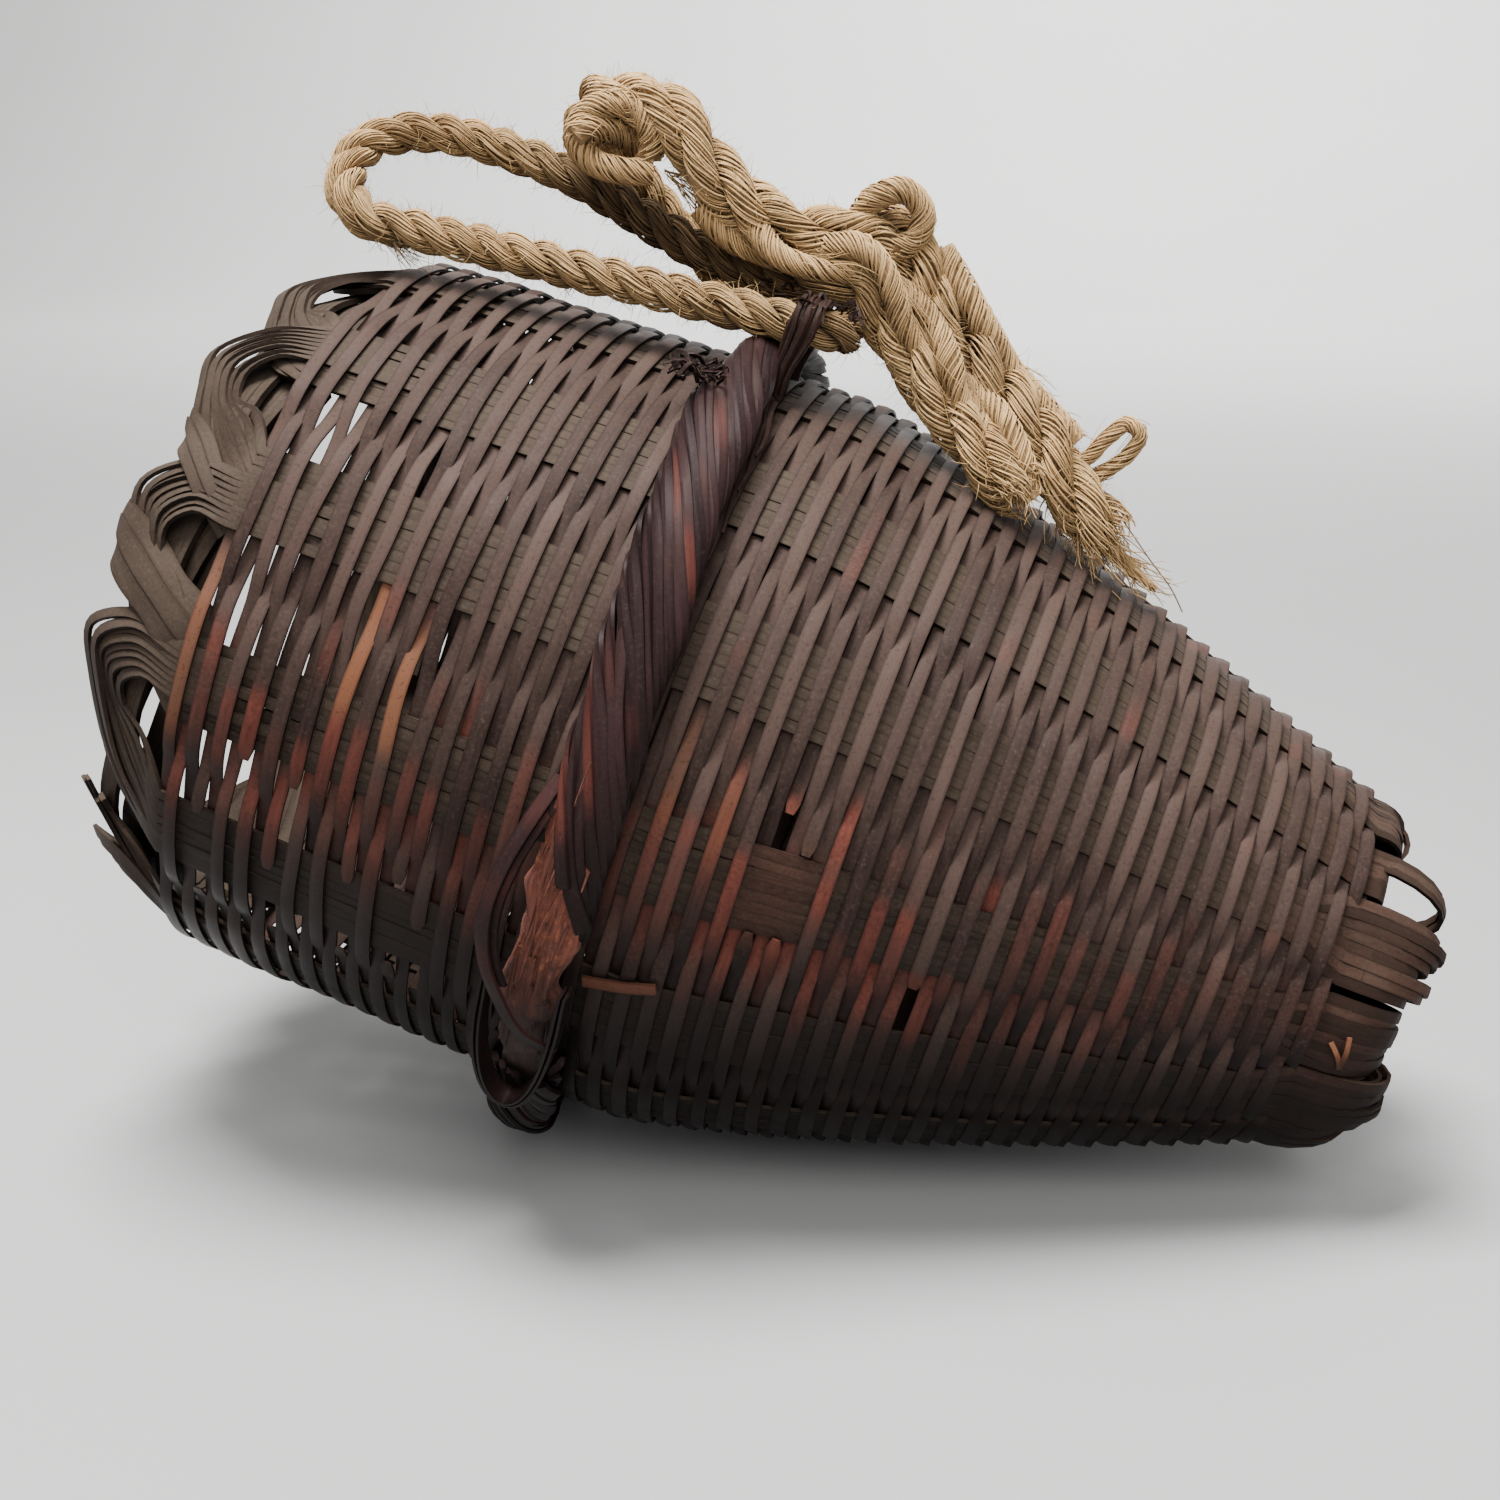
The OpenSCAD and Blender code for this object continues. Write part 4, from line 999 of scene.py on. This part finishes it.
# A bamboo strip, split in two, that has sprung off the hoop at the break and hangs in a bow beside it.
# It still holds at its upper end and is caught under the becket at its lower end.
loose_route = [(89, -4, -80), (86.5, -0.5, -85.5), (84.4, 2.5, -91), (83.6, 4, -97.5), (86, 4.5, -103),
               (90.2, 4, -107.5), (96.6, 3, -112.4), (103.5, 1, -114.7)]
mm_per_deg = 1.8
rng = np.random.default_rng(12)
runs = []
for shift, lift_off, share in ((-0.7, 0.0, 1.0), (1.0, -0.9, 0.7)):
    bow = smooth_run([(u, h, a * mm_per_deg) for u, h, a in loose_route], 2.0)
    bow = bow[:int(len(bow) * share)]
    m = len(bow)
    at = np.radians(bow[:, 2] / mm_per_deg)
    place = round_at(bow[:, 0] + shift, hoop_out_r + bow[:, 1] + lift_off, at)
    runs.append(strip(place, round_at(-0.25, 1.0, at), girth=1 + drift(rng, m, 6, 0.06),
                      tone=rng.uniform(-1, 0), worn=np.clip(0.1 + drift(rng, m, 6, 0.15), 0, 1)))
strips("hoop_sprung_strip", runs, hoop_bamboo, (strip_w, strip_t, 0.2),
       node="hoop_loose_strip")

# The lower becket: a worn eye of bamboo strips bent double on edge, for a second hold on the rope.
# Its ends go in under the hoop.
becket_u, becket_half, becket_top, becket_drop = 94.0, 8.6, -110.0, 16.5
becket_bow_r, becket_leg = 106.11, 5
rng = np.random.default_rng(19)
runs = []
for ply in range(2):
    inset = (ply - 0.5) * 1.1
    t = np.linspace(0, math.pi, 26)[1:-1]
    leg = np.linspace(0, 1, 5)
    u = becket_u + np.r_[0 * leg - becket_half + inset, -(becket_half - inset) * np.cos(t),
                         0 * leg + becket_half - inset]
    drop = becket_drop - inset * 0.55
    deg = becket_top + np.r_[becket_leg * (1 - leg), -drop * np.sin(t), becket_leg * leg]
    bowed = np.r_[0 * leg, np.sin(t), 0 * leg]
    at = np.radians(deg)
    r = hoop_out_r + (becket_bow_r - hoop_out_r) * bowed + drift(rng, len(u), 8, 0.25)
    place = round_at(u, r, at)
    face = unit(np.cross(outward(at), unit(np.gradient(place, axis=0))))
    # The becket's strips get dark tones, painted shade under the hoop.
    runs.append(strip(place, face, girth=rng.uniform(0.8, 1.0), tone=rng.uniform(-1, -0.4)))
strips("lower_becket_strips", runs, hoop_bamboo, (5.8, 0.7, 0.1), node="lower_becket")

# The strap: a lashing of nine dark strands of bamboo, bent over the rope at the top of the hoop and
# pinched under it. Its spare end, three strands, lies down beside the hoop.
strap_u, strap_y, strap_z = 96.4, -16.0, 107.46
strap_bow, strap_foot_r = 6.3, 94.56
lash_n, lash_gap = 9, 0.65
spare_n, spare_points = 3, 24
strap_bamboo = aged_bamboo(
    "strap_bamboo", dark=(0.008, 0.005, 0.004, 1), mid=(0.026, 0.013, 0.010, 1),
    dust=(0.055, 0.042, 0.035, 1), streak=(0.035, 0.013, 0.009, 1),
    dust_share=0.15, gloss=0.45, edge_shade=0.5)
rng = np.random.default_rng(31)
runs = []
for strand in range(lash_n):
    shift = (strand - (lash_n - 1) / 2) * lash_gap + rng.normal(0, 0.25)
    g = np.radians(np.linspace(-90, 90, 19))
    leg = np.linspace(0, 1, 5)
    bow_r = strap_bow + rng.uniform(-0.3, 0.7)
    y = strap_y + bow_r * np.r_[0 * leg - 1, np.sin(g), 0 * leg + 1]
    foot_front, foot_back = [math.sqrt(strap_foot_r ** 2 - (strap_y + way * bow_r) ** 2) for way in (-1, 1)]
    knee = strap_z - 0.8
    z = np.r_[np.linspace(foot_front, knee, 5), strap_z + bow_r * np.cos(g), np.linspace(knee, foot_back, 5)]
    m = len(y)
    down = eased(strap_z - z, -2, 12)
    u = strap_u + shift * (1 - 0.45 * down) - 1.5 * down + drift(rng, m, 5, 0.35)
    out = np.stack([0 * y, y - strap_y, np.maximum(z - strap_z, 0)], -1)
    runs.append(strip(np.stack([u, y, z], -1), unit(out + (rng.normal(0, 2.5), 0, 0)),
                      girth=rng.uniform(0.7, 1.2) + drift(rng, m, 5, 0.12), tone=rng.uniform(-1, 0.6)))
strips("rope_strap_strips", runs, strap_bamboo, (1.3, 0.8, 0.2), node="rope_strap")
runs = []
for strand in range(spare_n):
    deg = np.linspace(-15 - strand, -44 + 7 * strand, spare_points)
    at = np.radians(deg)
    edge = hoop_mid(deg) + 5.4 + 2.6 * eased(-deg, 12, 30) + 0.9 * strand
    u = edge + drift(rng, spare_points, 6, 0.3)
    r = strap_foot_r + 0.2 + drift(rng, spare_points, 6, 0.15)
    runs.append(strip(round_at(u, r, at), round_at(0.3, 1, at), girth=np.linspace(1.1, 0.5, spare_points),
                      tone=rng.uniform(-1, 0.4)))
strips("strap_spare_end", runs, strap_bamboo, (1.4, 0.9, 0.2), node="strap_tail")

# Torn bamboo fibres that stand up on the strap, where the rope has rubbed it.
# A dark tuft of them is caught in the weave on the mouth side of the hoop.
runs = []
for centre, spread, count in (((97, -15, 112.8), (4, 4.5, 1.0), 34), ((81, -40, 94.0), (2.6, 3.6, 1.0), 70)):
    for _ in range(count):
        a = np.array(centre) + rng.normal(0, 1, 3) * spread * (1, 1, 0.3)
        b = a + rng.normal(0, 1, 3) * (3.0, 3.0, 0.9)
        c = (a + b) / 2 + rng.normal(0, 0.8, 3) + (0, 0, 1.0)
        runs.append(strip(smooth_run([a, c, b], 1.0), unit(rng.normal(0, 1, 3) + (0, -0.5, 1)),
                          girth=rng.uniform(0.4, 1.0), tone=rng.uniform(-1, -0.2)))
strips("strap_torn_fibres", runs, strap_bamboo, (1.0, 0.4, 0.05))
